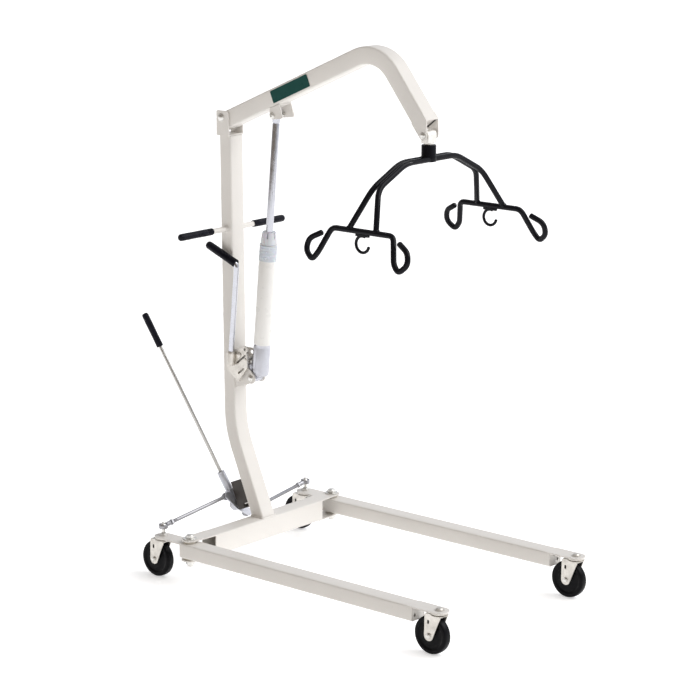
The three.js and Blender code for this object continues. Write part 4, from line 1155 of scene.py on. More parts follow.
@dataclass(frozen=True)
class Leg:
    """One leg: a rectangular tube whose top wall runs on as a tongue at each end."""

    side_name: str
    side: int
    x: float = 293.0
    width: float = 52.0
    height: float = 40.0
    top: float = 119.0
    front: float = -797.0
    rear: float = 15.0
    foot_cut: float = 4.0
    tongue: float = 4.0
    wall: float = 3.0
    corner: float = 4.5
    front_stem: float = -866.0
    rear_stem: float = 101.0
    tip: float = 25.0
    ball_z: float = 145.8
    ball_r: float = 8.5
    stud_neck: float = 4.5
    stud_top: float = 157.0

    def tube(self) -> Solid:
        """Makes the open tube with its chamfered rear foot.

        Returns:
            The tube.
        """
        middle = self.top - self.height / 2
        stations = [
            (Vector((self.x, y, middle)), Vector((1, 0, 0)), Vector((0, 0, 1)))
            for y in (self.rear, self.front)
        ]
        tube = box_tube(stations, self.width, self.height, self.wall, self.corner)
        low = self.top - self.height
        cut, end = self.foot_cut, self.rear + 2
        foot = plate_x(
            [(self.rear - cut, low - 1), (end, low - 1), (end, low + cut + 1)], self.x - 40, self.x + 40,
        )
        sleeve = disc(11.2, low - 2, self.top + 2, 0.1).moved(self.x, 0, 0)
        return carved(tube, [foot, sleeve])

    def tongue_plate(self, stem_y: float, root_y: float) -> Solid:
        """Makes a tongue from the tube's end to round the caster's stem.

        Args:
            stem_y: where the caster's stem is.
            root_y: where the tongue meets the tube.

        Returns:
            The tongue.
        """
        half = self.width / 2 - 0.6
        way = 1 if stem_y > root_y else -1
        inside = root_y - way * 16
        turn = arc(self.x, stem_y, self.tip, 0, 180 * way, 24)
        outline = [
            (self.x + half, inside), (self.x + half, root_y), *turn, (self.x - half, root_y),
            (self.x - half, inside),
        ]
        plate = plate_z(outline if way > 0 else outline[::-1], self.top - self.tongue, self.top - 0.02)
        hole = disc(6.4, self.top - 10, self.top + 4, 0.1).moved(self.x, stem_y, 0)
        return carved(plate, [hole])

    def end_plate(self) -> Solid:
        """Makes the plate in the front mouth, with its round notch and small hole.

        Returns:
            The end plate.
        """
        low = self.top - self.height
        middle = self.top - self.height / 2
        outline = [
            (self.x + a, middle + b)
            for a, b in rounded_rect(self.width - 5.6, self.height - 5.6, 2.0)
        ]
        plate = plate_y(outline, self.front + 0.4, self.front + 3.4)
        notch = along_y(disc(11, -8, 8, 0.1)).moved(self.x, self.front + 2, self.top - 4)
        hole = along_y(disc(4.5, -8, 8, 0.1, 24)).moved(self.x + 12, self.front + 2, low + 14)
        return carved(plate, [notch, hole])

    def sleeve(self) -> Solid:
        """Makes the nylon sleeve with its two thrust collars.

        Returns:
            The sleeve.
        """
        low = self.top - self.height
        return lathe([
            (8.3, 73.3), (16.4, 73.3), (17, 73.9), (17, low - 0.8), (16.4, low - 0.3), (10.8, low - 0.3),
            (10.8, self.top + 0.3), (16.4, self.top + 0.3), (17, self.top + 0.9), (17, 125.1), (16.4, 125.7),
            (8.3, 125.7), (8.3, 73.3),
        ]).moved(self.x, 0, 0)

    def ball_stud(self) -> Solid:
        """Makes the ball stud on the rear tongue, with hexagon, neck, ball and threaded tip.

        Returns:
            The ball stud.
        """
        seat = self.top + 0.3
        ball_r, neck, tip = self.ball_r, self.stud_neck, self.stud_top
        start = math.asin(neck / ball_r)
        ball = [
            (ball_r * math.cos(a), self.ball_z + ball_r * math.sin(a))
            for a in (-math.pi / 2 + start + (math.pi - 2 * start) * i / 14 for i in range(15))
        ]
        stem = [
            (0, seat + 4), (8, seat + 4), (7, seat + 8), (neck, seat + 9.5), *ball, (neck, tip - 1),
            (neck - 1, tip), (0, tip),
        ]
        return union(
            [hexagon(11, seat, seat + 6), disc(10.4, seat, seat + 1.2, 0.3), lathe(stem, 36)]
        ).moved(self.x, self.rear_stem, 0)

    def build(self, shop: Workshop) -> None:
        """Builds the leg and dresses it.

        Args:
            shop: the workshop that takes the pieces.
        """
        body, tag = f"leg_{self.side_name}", self.side_name
        parts = {
            f"leg_tube_{tag}": (self.tube(), CREAM, [f"leg_{tag}"], Edge.PLATE),
            f"leg_front_tongue_{tag}": (
                self.tongue_plate(self.front_stem, self.front), CREAM, (), Edge.PLATE,
            ),
            f"leg_rear_tongue_{tag}": (self.tongue_plate(self.rear_stem, self.rear), CREAM, (), Edge.PLATE),
            f"leg_end_plate_{tag}": (self.end_plate(), CREAM, (), Edge.PLATE),
            f"leg_pivot_sleeve_{tag}": (self.sleeve(), SLEEVE_NYLON, [f"leg_sleeve_{tag}"], Edge.NONE),
            f"linkage_ball_stud_{tag}": (self.ball_stud(), BRIGHT_ZINC, [f"ball_stud_{tag}"], Edge.NONE),
        }
        for name, (solid, finish, nodes, edge) in parts.items():
            placed = solid if self.side > 0 else solid.mirrored()
            shop.piece(name, placed, finish, body, nodes, edge)


@dataclass(frozen=True)
class Caster:
    """Swivel caster: upper race, fork with pressed crown, moulded wheel and axle."""

    end: str
    side_name: str
    side: int
    stem_x: float = 293.0
    stem_y: float = 0.0
    trail: float = 22.0
    radius: float = 50.8
    width: float = 24.0
    seat: float = 114.7
    race_h: float = 5.4
    inner: float = 14.0
    plate: float = 3.0
    foot: float = 14.0

    def race(self) -> Solid:
        """Makes the fixed race with its rolled lip, and a domed bolt head on a front caster.

        Returns:
            The race.
        """
        low = self.seat - self.race_h
        disc_part = lathe([
            (0, low), (19, low), (20.5, low + 0.5), (21.6, low + 1.4), (22, low + 2.6), (21.8, low + 3.9),
            (20.8, self.seat - 0.5), (19.6, self.seat), (0, self.seat),
        ])
        shank = disc(6, self.seat - 1, self.seat + 5, 0.4)
        if self.end == "rear":
            return union([disc_part, shank])
        top = self.seat + 4.6
        washer = disc(12.5, top, top + 1.6, 0.3)
        dome = lathe([
            (0, top + 1.5), (9.6, top + 1.5), (9.4, top + 3.6), (7.8, top + 5.4), (4.5, top + 6.6),
            (0, top + 7),
        ], 36)
        return union([disc_part, shank, washer, dome])

    def fork(self) -> Solid:
        """Makes the pressed fork: crown, bridge and two cheeks with their oval holes.

        Returns:
            The fork.
        """
        top = self.seat - self.race_h - 0.6
        under = self.radius * 2 + 4
        outer = self.inner + self.plate
        crown = lathe([
            (0, under + 0.8), (21.5, under + 0.8), (22.7, under + 1.6), (23, under + 2.8),
            (22.4, top - 0.9), (20.6, top), (0, top),
        ])
        cheek = band(
            [(self.trail, self.radius, self.foot), (-8, under - 3, 6), (self.trail + 7, under - 3, 6)]
        )
        shoulder = union([
            plate_x(arc(y, under - 1, 4.2, 0, 360, 16)[:-1], -outer + 0.1, outer - 0.1)
            for y in (-8.5, self.trail + 7.5)
        ])
        bridge = block(
            (-outer + 0.05, outer - 0.05), (-12, self.trail + 11), (under - 1.5, under + self.plate - 0.2),
        )
        oval = arc(self.trail + 1, self.radius + 39, 2.9, 0, 180)
        oval += arc(self.trail + 1, self.radius + 34, 2.9, 180, 360)
        hole = plate_x(oval, -40, 40)
        cheeks = union([plate_x(cheek, *x) for x in ((-outer, -self.inner), (self.inner, outer))])
        return union([crown, carved(cheeks, [hole]), bridge, carved(shoulder, [hole])])

    def wheel(self) -> Solid:
        """Makes the moulded wheel, its rim eased and a shallow dish in each face.

        Returns:
            The wheel.
        """
        r, h = self.radius, self.width / 2
        rim = [(r - 4.5, h), (r - 2.6, h - 0.7), (r - 1.1, h - 2.6), (r - 0.3, h - 6), (r, 0)]
        dish = [
            (4.4, h), (13.5, h), (15, h - 0.5), (16.2, h - 1.6), (18, h - 2.3), (r - 17, h - 2.5),
            (r - 14, h - 2.1), (r - 12, h - 0.6), (r - 10.5, h),
        ]
        upper = [*dish, *rim]
        lower = [(a, -b) for a, b in reversed(upper)]
        return along_x(lathe([*upper, *lower[1:], upper[0]], 72)).moved(0, self.trail, self.radius)

    def axle(self) -> Solid:
        """Makes the axle bolt with its hexagon head and lock nut.

        Returns:
            The axle.
        """
        seat = self.inner + self.plate + 0.3
        shaft = disc(4, -seat - 5.6, seat + 5.8, 0.6, 28)
        heads = [
            hexagon(7, seat, seat + 4.4), hexagon(7, -seat - 4.4, -seat),
            disc(7.2, seat - 0.1, seat + 0.8, 0.2), disc(7.2, -seat - 0.8, -seat + 0.1, 0.2),
        ]
        return along_x(union([shaft, *heads])).moved(0, self.trail, self.radius)

    def build(self, shop: Workshop) -> None:
        """Builds the caster on its leg.

        Args:
            shop: the workshop that takes the pieces.
        """
        tag = f"{self.end}_{self.side_name}"
        place = (self.side * self.stem_x, self.stem_y, 0)
        shop.piece(
            f"swivel_race_{tag}", self.race().moved(*place), PRESSED_ZINC, f"leg_{self.side_name}",
            [f"caster_race_{tag}"],
        )
        shop.piece(
            f"swivel_fork_{tag}", self.fork().moved(*place), PRESSED_ZINC, f"fork_{tag}",
            [f"caster_fork_{tag}"], Edge.PLATE,
        )
        shop.piece(
            f"moulded_wheel_{tag}", self.wheel().moved(*place), WHEEL, f"wheel_{tag}",
            [f"caster_wheel_{tag}"],
        )
        shop.piece(
            f"wheel_axle_{tag}", self.axle().moved(*place), BRIGHT_ZINC, f"fork_{tag}",
            [f"caster_axle_{tag}"],
        )


# ---------- mast


@dataclass(frozen=True)
class Mast:
    """Bent square mast with its head channel, jack mount and push handle."""

    width: float = 51.5
    depth: float = 41.3
    wall: float = 3.0
    corner: float = 5.0
    foot_z: float = 129.3
    knee_y: float = 79.0
    knee_z: float = 374.0
    top_y: float = 86.0
    top_z: float = 1193.0
    lean: float = 22.9
    bend: float = 55.0
    push_y: float = 105.0
    push_z: float = 935.5
    push_half: float = 206.0

    def runs(self) -> tuple[Vector, Vector]:
        """Works out the directions of the leaning foot and of the upper run.

        Returns:
            The two unit directions.
        """
        low = math.radians(self.lean)
        high = Vector((0, self.top_y - self.knee_y, self.top_z - self.knee_z)).normalized()
        return Vector((0, math.sin(low), math.cos(low))), high

    def front_y(self, z: float) -> float:
        """Returns the y of the mast's front face at height z, above the knee."""
        return self.knee_y + (self.top_y - self.knee_y) * (z - self.knee_z) / (self.top_z - self.knee_z)

    def tube(self) -> Solid:
        """Makes the mast's tube, cut level at both ends.

        Returns:
            The tube.
        """
        low, high = self.runs()
        low_out, high_out = Vector((0, low.z, -low.y)), Vector((0, high.z, -high.y))
        mitre = (low_out + high_out) * (self.depth / 2) / (1 + low_out.dot(high_out))
        knee = Vector((0, self.knee_y, self.knee_z)) + mitre
        start, end = knee - low * self.bend, knee + high * self.bend
        stations = []

        def level(point: Vector, run: Vector, out: Vector) -> tuple[Vector, Vector, Vector]:
            """Returns a section cut level at the point."""
            return point, Vector((1, 0, 0)), Vector((0, 1, 0)) * (1 / out.y)

        foot = knee + low * ((self.foot_z - knee.z) / low.z)
        stations.append(level(foot, low, low_out))
        steps = 10
        for i in range(steps + 1):
            t = i / steps
            point = start * (1 - t) ** 2 + knee * (2 * t * (1 - t)) + end * t * t
            out = low_out.lerp(high_out, t).normalized()
            stations.append((point, Vector((1, 0, 0)), out))
        top = knee + high * ((self.top_z - knee.z) / high.z)
        stations.append(level(top, high, high_out))
        return box_tube(stations, self.width, self.depth, self.wall, self.corner)

    def weld(self) -> Solid:
        """Makes the fillet weld round the mast's foot.

        Returns:
            The weld.
        """
        low, _ = self.runs()
        depth = self.depth / low.z
        front = self.knee_y - (self.knee_z - self.foot_z) * math.tan(math.radians(self.lean))
        centre_y = front + depth / 2
        outline = rounded_rect(self.width + 1.0, depth + 1.0, 5.5, 6)
        path = [Vector((x, centre_y + y, self.foot_z + 0.6)) for x, y in outline]
        path.append(path[0].copy())
        bead = []
        for start, end in zip(path, path[1:]):
            count = max(1, round((end - start).length / 2.2))
            bead += [start.lerp(end, i / count) for i in range(count)]
        loops = []
        for i, here in enumerate(bead):
            run = (bead[(i + 1) % len(bead)] - bead[i - 1]).normalized()
            out = run.cross(Vector((0, 0, 1)))
            size = 3.0 + 0.35 * math.sin(i * 1.9) + 0.2 * math.sin(i * 0.7)
            loops.append([
                here + (out * math.cos(a) + Vector((0, 0, 1)) * math.sin(a)) * size
                for a in (2 * math.pi * k / 10 for k in range(10))
            ])
        return loft(loops, closed=True)

    def head(self) -> Solid:
        """Makes the head channel that holds the boom's pivot.

        Returns:
            The head.
        """
        front, rear = self.top_y + 2, self.top_y + self.depth + 6
        bottom, top = self.top_z + 0.3, 1262.0
        inner, outer = self.width / 2 + 0.3, self.width / 2 + 4.3
        outline = [(front, bottom), (rear, bottom)]
        outline += arc(rear - 4, top - 4, 4, 0, 90, 8) + arc(front + 13, top - 13, 13, 90, 180, 12)
        cheeks = union([plate_x(outline, *x) for x in ((-outer, -inner), (inner, outer))])
        web = block((-outer + 0.6, outer - 0.6), (front + 0.2, rear - 0.2), (bottom + 0.02, bottom + 4))
        return union([cheeks, web])

    def jack_mount(self) -> Solid:
        """Makes the channel on the mast's front that carries the jack and its handle.

        Returns:
            The jack mount.
        """
        bottom, top = 489.0, 600.0
        back = self.front_y(bottom) - 0.3
        outline = [(back, bottom), (back, top), (54, top)]
        outline += arc(54, 588, 12, 90, 180, 12) + [(39, 560)]
        outline += arc(22, 525, 16, 126, 291.6, 20)
        cheeks = union([plate_x(outline, *x) for x in ((-22.6, -18.6), (18.6, 22.6))])
        web = block((-22.4, 22.4), (back - 4, back), (bottom + 0.4, top - 0.4))
        hole = along_x(disc(5.4, -30, 30, 0.1)).moved(0, 54, 588)
        return union([carved(cheeks, [hole]), web])

    def push_grip(self) -> Solid:
        """Makes one push grip, ribbed towards its mouth.

        Returns:
            The push grip.
        """
        end, start = self.push_half + 2.2, self.push_half + 2.2 - 126
        ribs = []
        for i in range(5):
            z = start + 4 + i * 3.4
            ribs += [(9.0, z), (9.7, z + 0.8), (9.7, z + 1.8), (9.0, z + 2.6)]
        return along_x(lathe([
            (7.8, start), (9.2, start), (9.6, start + 1.2), *ribs, (9.8, start + 23), (10, start + 30),
            (9.7, (start + end) / 2), (10, end - 12), (9.6, end - 4), (8.2, end - 1.2), (5, end - 0.2),
            (0, end), (0, end - 1.8), (7.8, end - 1.8), (7.8, start),
        ], 40))

    def build(self, shop: Workshop) -> None:
        """Builds the mast and all that is fixed to it.

        Args:
            shop: the workshop that takes the pieces.
        """
        shop.piece("mast_tube", self.tube(), CREAM, "base", ["mast"], Edge.PLATE)
        shop.piece("mast_foot_weld", self.weld(), CREAM, "base")
        shop.piece("mast_head_channel", self.head(), CREAM, "base", ["mast_head_bracket"], Edge.PLATE)
        shop.piece("jack_mount_channel", self.jack_mount(), CREAM, "base", ["pump_mount_bracket"], Edge.PLATE)
        tools = Hardware()
        boom_bolt = tools.bolt(6, 9.5, 6, self.width / 2 + 4.6).moved(0, 115.6, 1243)
        shop.piece("boom_pivot_pin", boom_bolt, BRIGHT_ZINC, "base", ["boom_pivot_bolt"])
        jack_bolt = tools.bolt(6.1, 8.5, 5, 22.9).moved(0, 22, 525)
        shop.piece("jack_pivot_pin", jack_bolt, BRIGHT_ZINC, "base", ["pump_pivot_bolt"])
        handle = along_x(disc(7.5, -self.push_half, self.push_half, 0.8)).moved(0, self.push_y, self.push_z)
        shop.piece("push_bar", handle, CREAM, "base", ["push_handle_bar"])
        for name, side in SIDES:
            grip = self.push_grip() if side > 0 else self.push_grip().mirrored()
            shop.piece(
                f"push_bar_grip_{name}", grip.moved(0, self.push_y, self.push_z), GRIP, "base",
                [f"push_grip_{name}"],
            )
            collar = along_x(lathe([
                (7.6, 25.9), (11.5, 25.9), (11.2, 27.2), (9.2, 28.6), (8.4, 30.4), (7.6, 31), (7.6, 25.9),
            ]))
            weld = (collar if side > 0 else collar.mirrored()).moved(0, self.push_y, self.push_z)
            shop.piece(f"push_bar_weld_{name}", weld, CREAM, "base")


# ---------- jack


@dataclass(frozen=True)
class Jack:
    """Hand-pumped jack: cast base, barrel, milky collar, chromed rod and plunger."""

    pivot_y: float = 22.0
    pivot_z: float = 525.0
    tilt: float = 5.2
    eye_y: float = -69.0
    eye_z: float = 1263.0
    set_back: float = 7.0
    barrel_r: float = 24.2
    bore: float = 20.6
    tube_z: float = 99.0
    collar_z: float = 383.0
    collar_top: float = 419.0
    nose_y: float = 30.0
    nose_z: float = 579.0
    nose_r: float = 4.0
    nose_gap: float = 0.6
    head_height: float = 5.0
    plunger_out: float = 4.4
    plunger_x: float = -9.0
    piston_from: float = 255.0
    piston_to: float = 275.0

    def local(self, y: float, z: float) -> Vector:
        """Returns a point of the hoist in the jack's own leaning axes."""
        turn = Matrix.Rotation(math.radians(-self.tilt), 4, "X")
        return turn @ Vector((0, y - self.pivot_y, z - self.pivot_z))

    def placed(self, solid: Solid) -> Solid:
        """Returns a solid carried from the jack's axes to the hoist's."""
        return solid.turned("X", self.tilt).moved(0, self.pivot_y, self.pivot_z)

    @property
    def axis_y(self) -> float:
        """The jack's centre line in its own axes."""
        return self.local(self.eye_y, self.eye_z).y + self.set_back

    def base(self) -> Solid:
        """Makes the cast base with its lug, plunger boss and valve boss.

        Returns:
            The base.
        """
        body = lathe([
            (0, 8), (14, 8), (18, 9.5), (21, 12.5), (22.1, 17), (22.3, 24), (22.3, 88), (21.6, 90),
            (21.6, 96), (22.0, 97.4), (22.0, self.tube_z), (20.3, self.tube_z), (20.3, self.tube_z + 15),
            (0, self.tube_z + 15),
        ], 56).moved(0, self.axis_y, 0)
        flats = [block(x, (-60, 20), (0, 26.5)) for x in ((-40, -18), (18, 40))]
        nose = self.local(self.nose_y, self.nose_z)
        boss_top = nose.z - self.nose_r - self.nose_gap - self.head_height - self.plunger_out
        boss = lathe([
            (0, 2), (8.4, 2), (9, 4), (9, boss_top - 3), (8.6, boss_top - 1.2), (7.6, boss_top),
            (0, boss_top),
        ], 36)
        valve = lathe([(0, 2), (7.5, 2), (8, 4), (8, 78), (7, 80), (5.6, 80), (5.6, 84), (0, 84)], 36)
        lug = along_x(lathe([(0, -18), (11.4, -18), (12, -17.2), (12, 17.2), (11.4, 18), (0, 18)], 40))
        rib = plate_x([(self.axis_y, 2), (4, -8), (10, 6), (14, 20), (self.axis_y + 12, 44)], -13, 13)
        fillet = plate_x([(self.axis_y + 10, 30), (8, 30), (8, 76), (self.axis_y + 10, 82)], 2.5, 16.5)
        column = disc(8.2, 30, self.tube_z - 2, 1.2, 32).moved(-15.2, self.axis_y + 8, 0)
        return union([
            carved(body, flats), lug, rib, fillet, column,
            boss.moved(self.plunger_x, nose.y, 0), valve.moved(9.5, 10, 0),
        ])

    def barrel(self) -> Solid:
        """Makes the painted barrel with rolled ends and a shallow groove near the top.

        Returns:
            The barrel.
        """
        r, b = self.barrel_r, self.bore
        z0, z1 = self.tube_z + 0.3, self.collar_z
        return lathe([
            (b, z0), (r - 1.2, z0), (r - 0.3, z0 + 0.5), (r, z0 + 1.4), (r, z1 - 9), (r - 0.5, z1 - 8.2),
            (r - 0.5, z1 - 6.6),
            (r, z1 - 5.8), (r, z1 - 2.4), (r - 0.6, z1 - 0.8), (r - 1.8, z1), (b, z1), (b, z0),
        ], 64).moved(0, self.axis_y, 0)

    def sight_sleeve(self) -> Solid:
        """Makes the clear sleeve round the barrel's top, with five shallow rings.

        Returns:
            The sight sleeve.
        """
        r, top = self.barrel_r, self.collar_z
        outer = [(r + 0.1, top - 45), (r + 0.5, top - 44)]
        for i in range(5):
            z = top - 40 + 8 * i
            outer += [(r + 0.5, z), (r + 0.2, z + 0.7), (r + 0.2, z + 1.6), (r + 0.5, z + 2.3)]
        outer += [(r + 0.5, top - 1), (r + 0.1, top - 0.2)]
        return lathe(outer + [outer[0]], 64).moved(0, self.axis_y, 0)

    def collar(self) -> Solid:
        """Makes the gland collar with six slots round its top.

        Returns:
            The collar.
        """
        r, bore, z0 = self.barrel_r, 10.3, self.collar_z
        ring = lathe([
            (bore, z0 - 17), (20.2, z0 - 17), (20.2, z0 + 0.4), (r - 2.2, z0 + 0.4), (r - 1.6, z0 + 1.2),
            (r - 2.4, z0 + 13), (r - 5.4, self.collar_top - 1.4), (r - 7, self.collar_top),
            (bore + 1.5, self.collar_top), (bore, self.collar_top - 1.5), (bore, z0 - 17),
        ], 60)
        slots = [
            block((-2.2, 2.2), (13.5, r + 4), (z0 + 19, self.collar_top + 3)).turned("Z", 60 * i)
            for i in range(6)
        ]
        return carved(ring, slots).moved(0, self.axis_y, 0)

    def rod(self) -> Solid:
        """Makes the chromed rod with its eye and hidden piston.

        Returns:
            The rod.
        """
        eye_z = self.local(self.eye_y, self.eye_z).z
        low, high = self.piston_from, self.piston_to
        shaft = lathe([
            (0, low), (20, low), (20, high), (10, high), (10, eye_z - 26), (9.4, eye_z - 24.6),
            (9.4, eye_z - 23), (10.6, eye_z - 21.6), (10.6, eye_z - 9), (0, eye_z - 9),
        ], 56)
        eye = along_x(lathe([
            (6.4, -10.4), (11.2, -10.4), (12, -9.6), (12, 9.6), (11.2, 10.4), (6.4, 10.4), (6.4, -10.4),
        ], 44)).moved(0, 0, eye_z)
        core = along_x(disc(6.5, -9.4, 9.4, 0.4)).moved(0, 0, eye_z)
        return union([shaft, eye, core]).moved(0, self.axis_y, 0)

    def plunger(self) -> Solid:
        """Makes the plunger with its round head.

        Returns:
            The plunger.
        """
        nose = self.local(self.nose_y, self.nose_z)
        top, step = nose.z - self.nose_r - self.nose_gap, self.head_height
        return lathe([
            (0, top - 21.4), (5, top - 21.4), (5, top - step), (6.9, top - step), (7.5, top - 4.2),
            (7.5, top - 1), (6.6, top), (0, top),
        ], 32).moved(self.plunger_x, nose.y, 0)

    def release_knob(self) -> Solid:
        """Makes the knurled release knob on the valve boss.

        Returns:
            The release knob.
        """
        loops = []
        sides = 48
        for share, z in ((0.9, 84.2), (1.0, 85.2), (1.0, 92), (0.9, 93.2), (0.5, 93.6)):
            loops.append([
                Vector((9.5 + r * math.cos(a), 10 + r * math.sin(a), z))
                for r, a in (
                    (share * (7.2 + 0.35 * math.cos(16 * 2 * math.pi * k / sides)), 2 * math.pi * k / sides)
                    for k in range(sides)
                )
            ])
        return loft(loops)

    def build(self, shop: Workshop) -> None:
        """Builds the jack and dresses it.

        Args:
            shop: the workshop that takes the pieces.
        """
        shop.piece(
            "jack_base_casting", self.placed(self.base()), ALLOY, "pump_barrel", ["pump_base"], Edge.PLATE,
        )
        shop.piece("jack_barrel", self.placed(self.barrel()), BARREL_WHITE, "pump_barrel", ["pump_tube"])
        shop.piece("jack_sight_sleeve", self.placed(self.sight_sleeve()), SIGHT, "pump_barrel")
        shop.piece("jack_gland_collar", self.placed(self.collar()), COLLAR, "pump_barrel", ["pump_collar"])
        shop.piece("jack_release_knob", self.placed(self.release_knob()), DARK_PAINT, "pump_barrel")
        shop.piece("jack_piston_rod", self.placed(self.rod()), CHROME, "pump_rod", ["pump_rod"])
        shop.piece("jack_plunger", self.placed(self.plunger()), BRIGHT_ZINC, "plunger", ["pump_plunger"])


@dataclass(frozen=True)
class PumpHandle:
    """Pump handle: pivoting lever plate, cranked bar and black grip."""

    pivot_y: float = 54.0
    pivot_z: float = 588.0
    nose: float = 24.0
    nose_drop: float = 9.0
    inner_x: float = -29.6
    outer_x: float = -34.6
    bar_r: float = 7.5
    foot_y: float = 75.0
    foot_z: float = 592.0
    knee_y: float = 50.0
    knee_z: float = 846.0
    slope: float = 21.5
    grip_r: float = 11.5
    grip_length: float = 118.0
    bend: float = 14.0
    root: float = 3.0
    edge: tuple[Point, ...] = ((100, 586), (87, 590), (34, 611), (23, 594), (24, 556), (57, 512), (100, 543))
    edge_middle: Point = (60, 563)
    edge_shrink: float = 0.05
    edge_corner: float = 2.2
    slots: tuple[tuple[float, ...], ...] = ((31, 589, 60, 566), (37, 551, 56, 537))
    slot_half: float = 3.0
    ring: tuple[float, float, float, float] = (31, 607, 9.5, 4.5)

    @property
    def bar_x(self) -> float:
        """The bar's plane."""
        return self.outer_x - self.bar_r - 1

    def line(self) -> tuple[Vector, Vector, Vector, Vector]:
        """Works out the bar's foot, its knee, its upward direction and the grip's direction.

        Returns:
            Those two points, then those two unit directions.
        """
        foot = Vector((self.bar_x, self.foot_y, self.foot_z))
        knee = Vector((self.bar_x, self.knee_y, self.knee_z))
        rise = math.radians(self.slope)
        return foot, knee, (knee - foot).normalized(), Vector((0, math.cos(rise), math.sin(rise)))

    def lever(self) -> Solid:
        """Makes the slotted lever plate with its ring, nose pin, pivot and socket.

        Returns:
            The lever.
        """
        foot, _, up, _ = self.line()
        low = foot - up * 34
        middle_y, middle_z = self.edge_middle
        shrink = self.edge_shrink
        outline = band([
            (y - (y - middle_y) * shrink, z - (z - middle_z) * shrink, self.edge_corner) for y, z in self.edge
        ])
        ring_y, ring_z, ring_r, eye_r = self.ring
        plate = plate_x(outline, self.outer_x, self.inner_x)
        ring = along_x(disc(ring_r, self.outer_x + 0.1, self.inner_x - 0.1, 0.6, 36)).moved(0, ring_y, ring_z)
        eye = along_x(disc(eye_r, -60, -10, 0.1, 28)).moved(0, ring_y, ring_z)
        slots = [
            plate_x(band([(y0, z0, self.slot_half), (y1, z1, self.slot_half)]), -60, -10)
            for y0, z0, y1, z1 in self.slots
        ]
        nose_y, nose_z = self.pivot_y - self.nose, self.pivot_z - self.nose_drop
        nose_pin = along_x(disc(4, self.inner_x - 7.5, -5, 0.5, 28)).moved(0, nose_y, nose_z)
        pivot = along_x(disc(5, self.outer_x - 4, -12.6, 0.5, 28)).moved(0, self.pivot_y, self.pivot_z)
        cap = along_x(lathe([
            (0, self.outer_x - 5), (5.2, self.outer_x - 5), (8, self.outer_x - 3.4),
            (9, self.outer_x - 1.2), (9, self.outer_x + 0.5), (0, self.outer_x + 0.5),
        ], 36)).moved(0, self.pivot_y, self.pivot_z)
        socket = turned_between(low, foot, [
            (0, 0), (9.6, 0), (11, 1.4), (11, 32), (10.4, 36), (9.2, 39.6), (7.7, 40.2), (0, 40.2),
        ])
        return union([carved(plate, [eye, *slots]), carved(ring, [eye]), nose_pin, pivot, cap, socket])

    def spring(self) -> Solid:
        """Makes the torsion spring round the pivot with its two legs.

        Returns:
            The spring.
        """
        turns, pitch, radius = 3, 1.7, 9.6
        start_x = self.inner_x + 1.1
        path = []
        count = turns * 20
        for i in range(count + 1):
            angle = 2 * math.pi * i / 20 + math.radians(205)
            path.append(Vector((
                start_x + pitch * i / 20,
                self.pivot_y + radius * math.cos(angle),
                self.pivot_z + radius * math.sin(angle),
            )))
        first, last = path[0], path[-1]
        path.insert(0, first + Vector((0, -9, 12)))
        path.append(last + Vector((0, 6, -20)))
        return wire(path, 0.75, 8)

    def bar(self) -> Solid:
        """Makes the cranked bar.

        Returns:
            The bar.
        """
        foot, knee, up, grip = self.line()
        path = smooth_path([foot - up * 23, knee, knee + grip * (self.grip_length - 6)], self.bend, 12)
        return wire(path, self.bar_r, 28)

    def grip(self) -> Solid:
        """Makes the dipped grip with a full round end.

        Returns:
            The grip.
        """
        _, knee, _, along = self.line()
        length = self.grip_length - self.root
        r = self.grip_r
        return turned_between(knee + along * self.root, knee + along * self.grip_length, [
            (self.bar_r + 0.4, 0), (r - 1.4, 0), (r - 0.3, 1), (r, 2.6), (r - 0.3, length * 0.35),
            (r, length * 0.7), (r - 0.4, length - 6), (r - 2.4, length - 1.8), (r - 5, length - 0.3),
            (0, length), (0, length - 5.6), (self.bar_r + 0.4, length - 5.6), (self.bar_r + 0.4, 0),
        ], 44)

    def build(self, shop: Workshop) -> None:
        """Builds the handle and dresses it.

        Args:
            shop: the workshop that takes the pieces.
        """
        body = "pump_lever"
        shop.piece("handle_lever_plate", self.lever(), PRESSED_ZINC, body, ["pump_lever"], Edge.PLATE)
        shop.piece("handle_return_spring", self.spring(), DARK_PAINT, body)
        shop.piece("handle_cranked_bar", self.bar(), CHROME, body, ["pump_handle_bar"])
        shop.piece("handle_dipped_grip", self.grip(), GRIP, body, ["pump_handle_grip"])


# ---------- boom


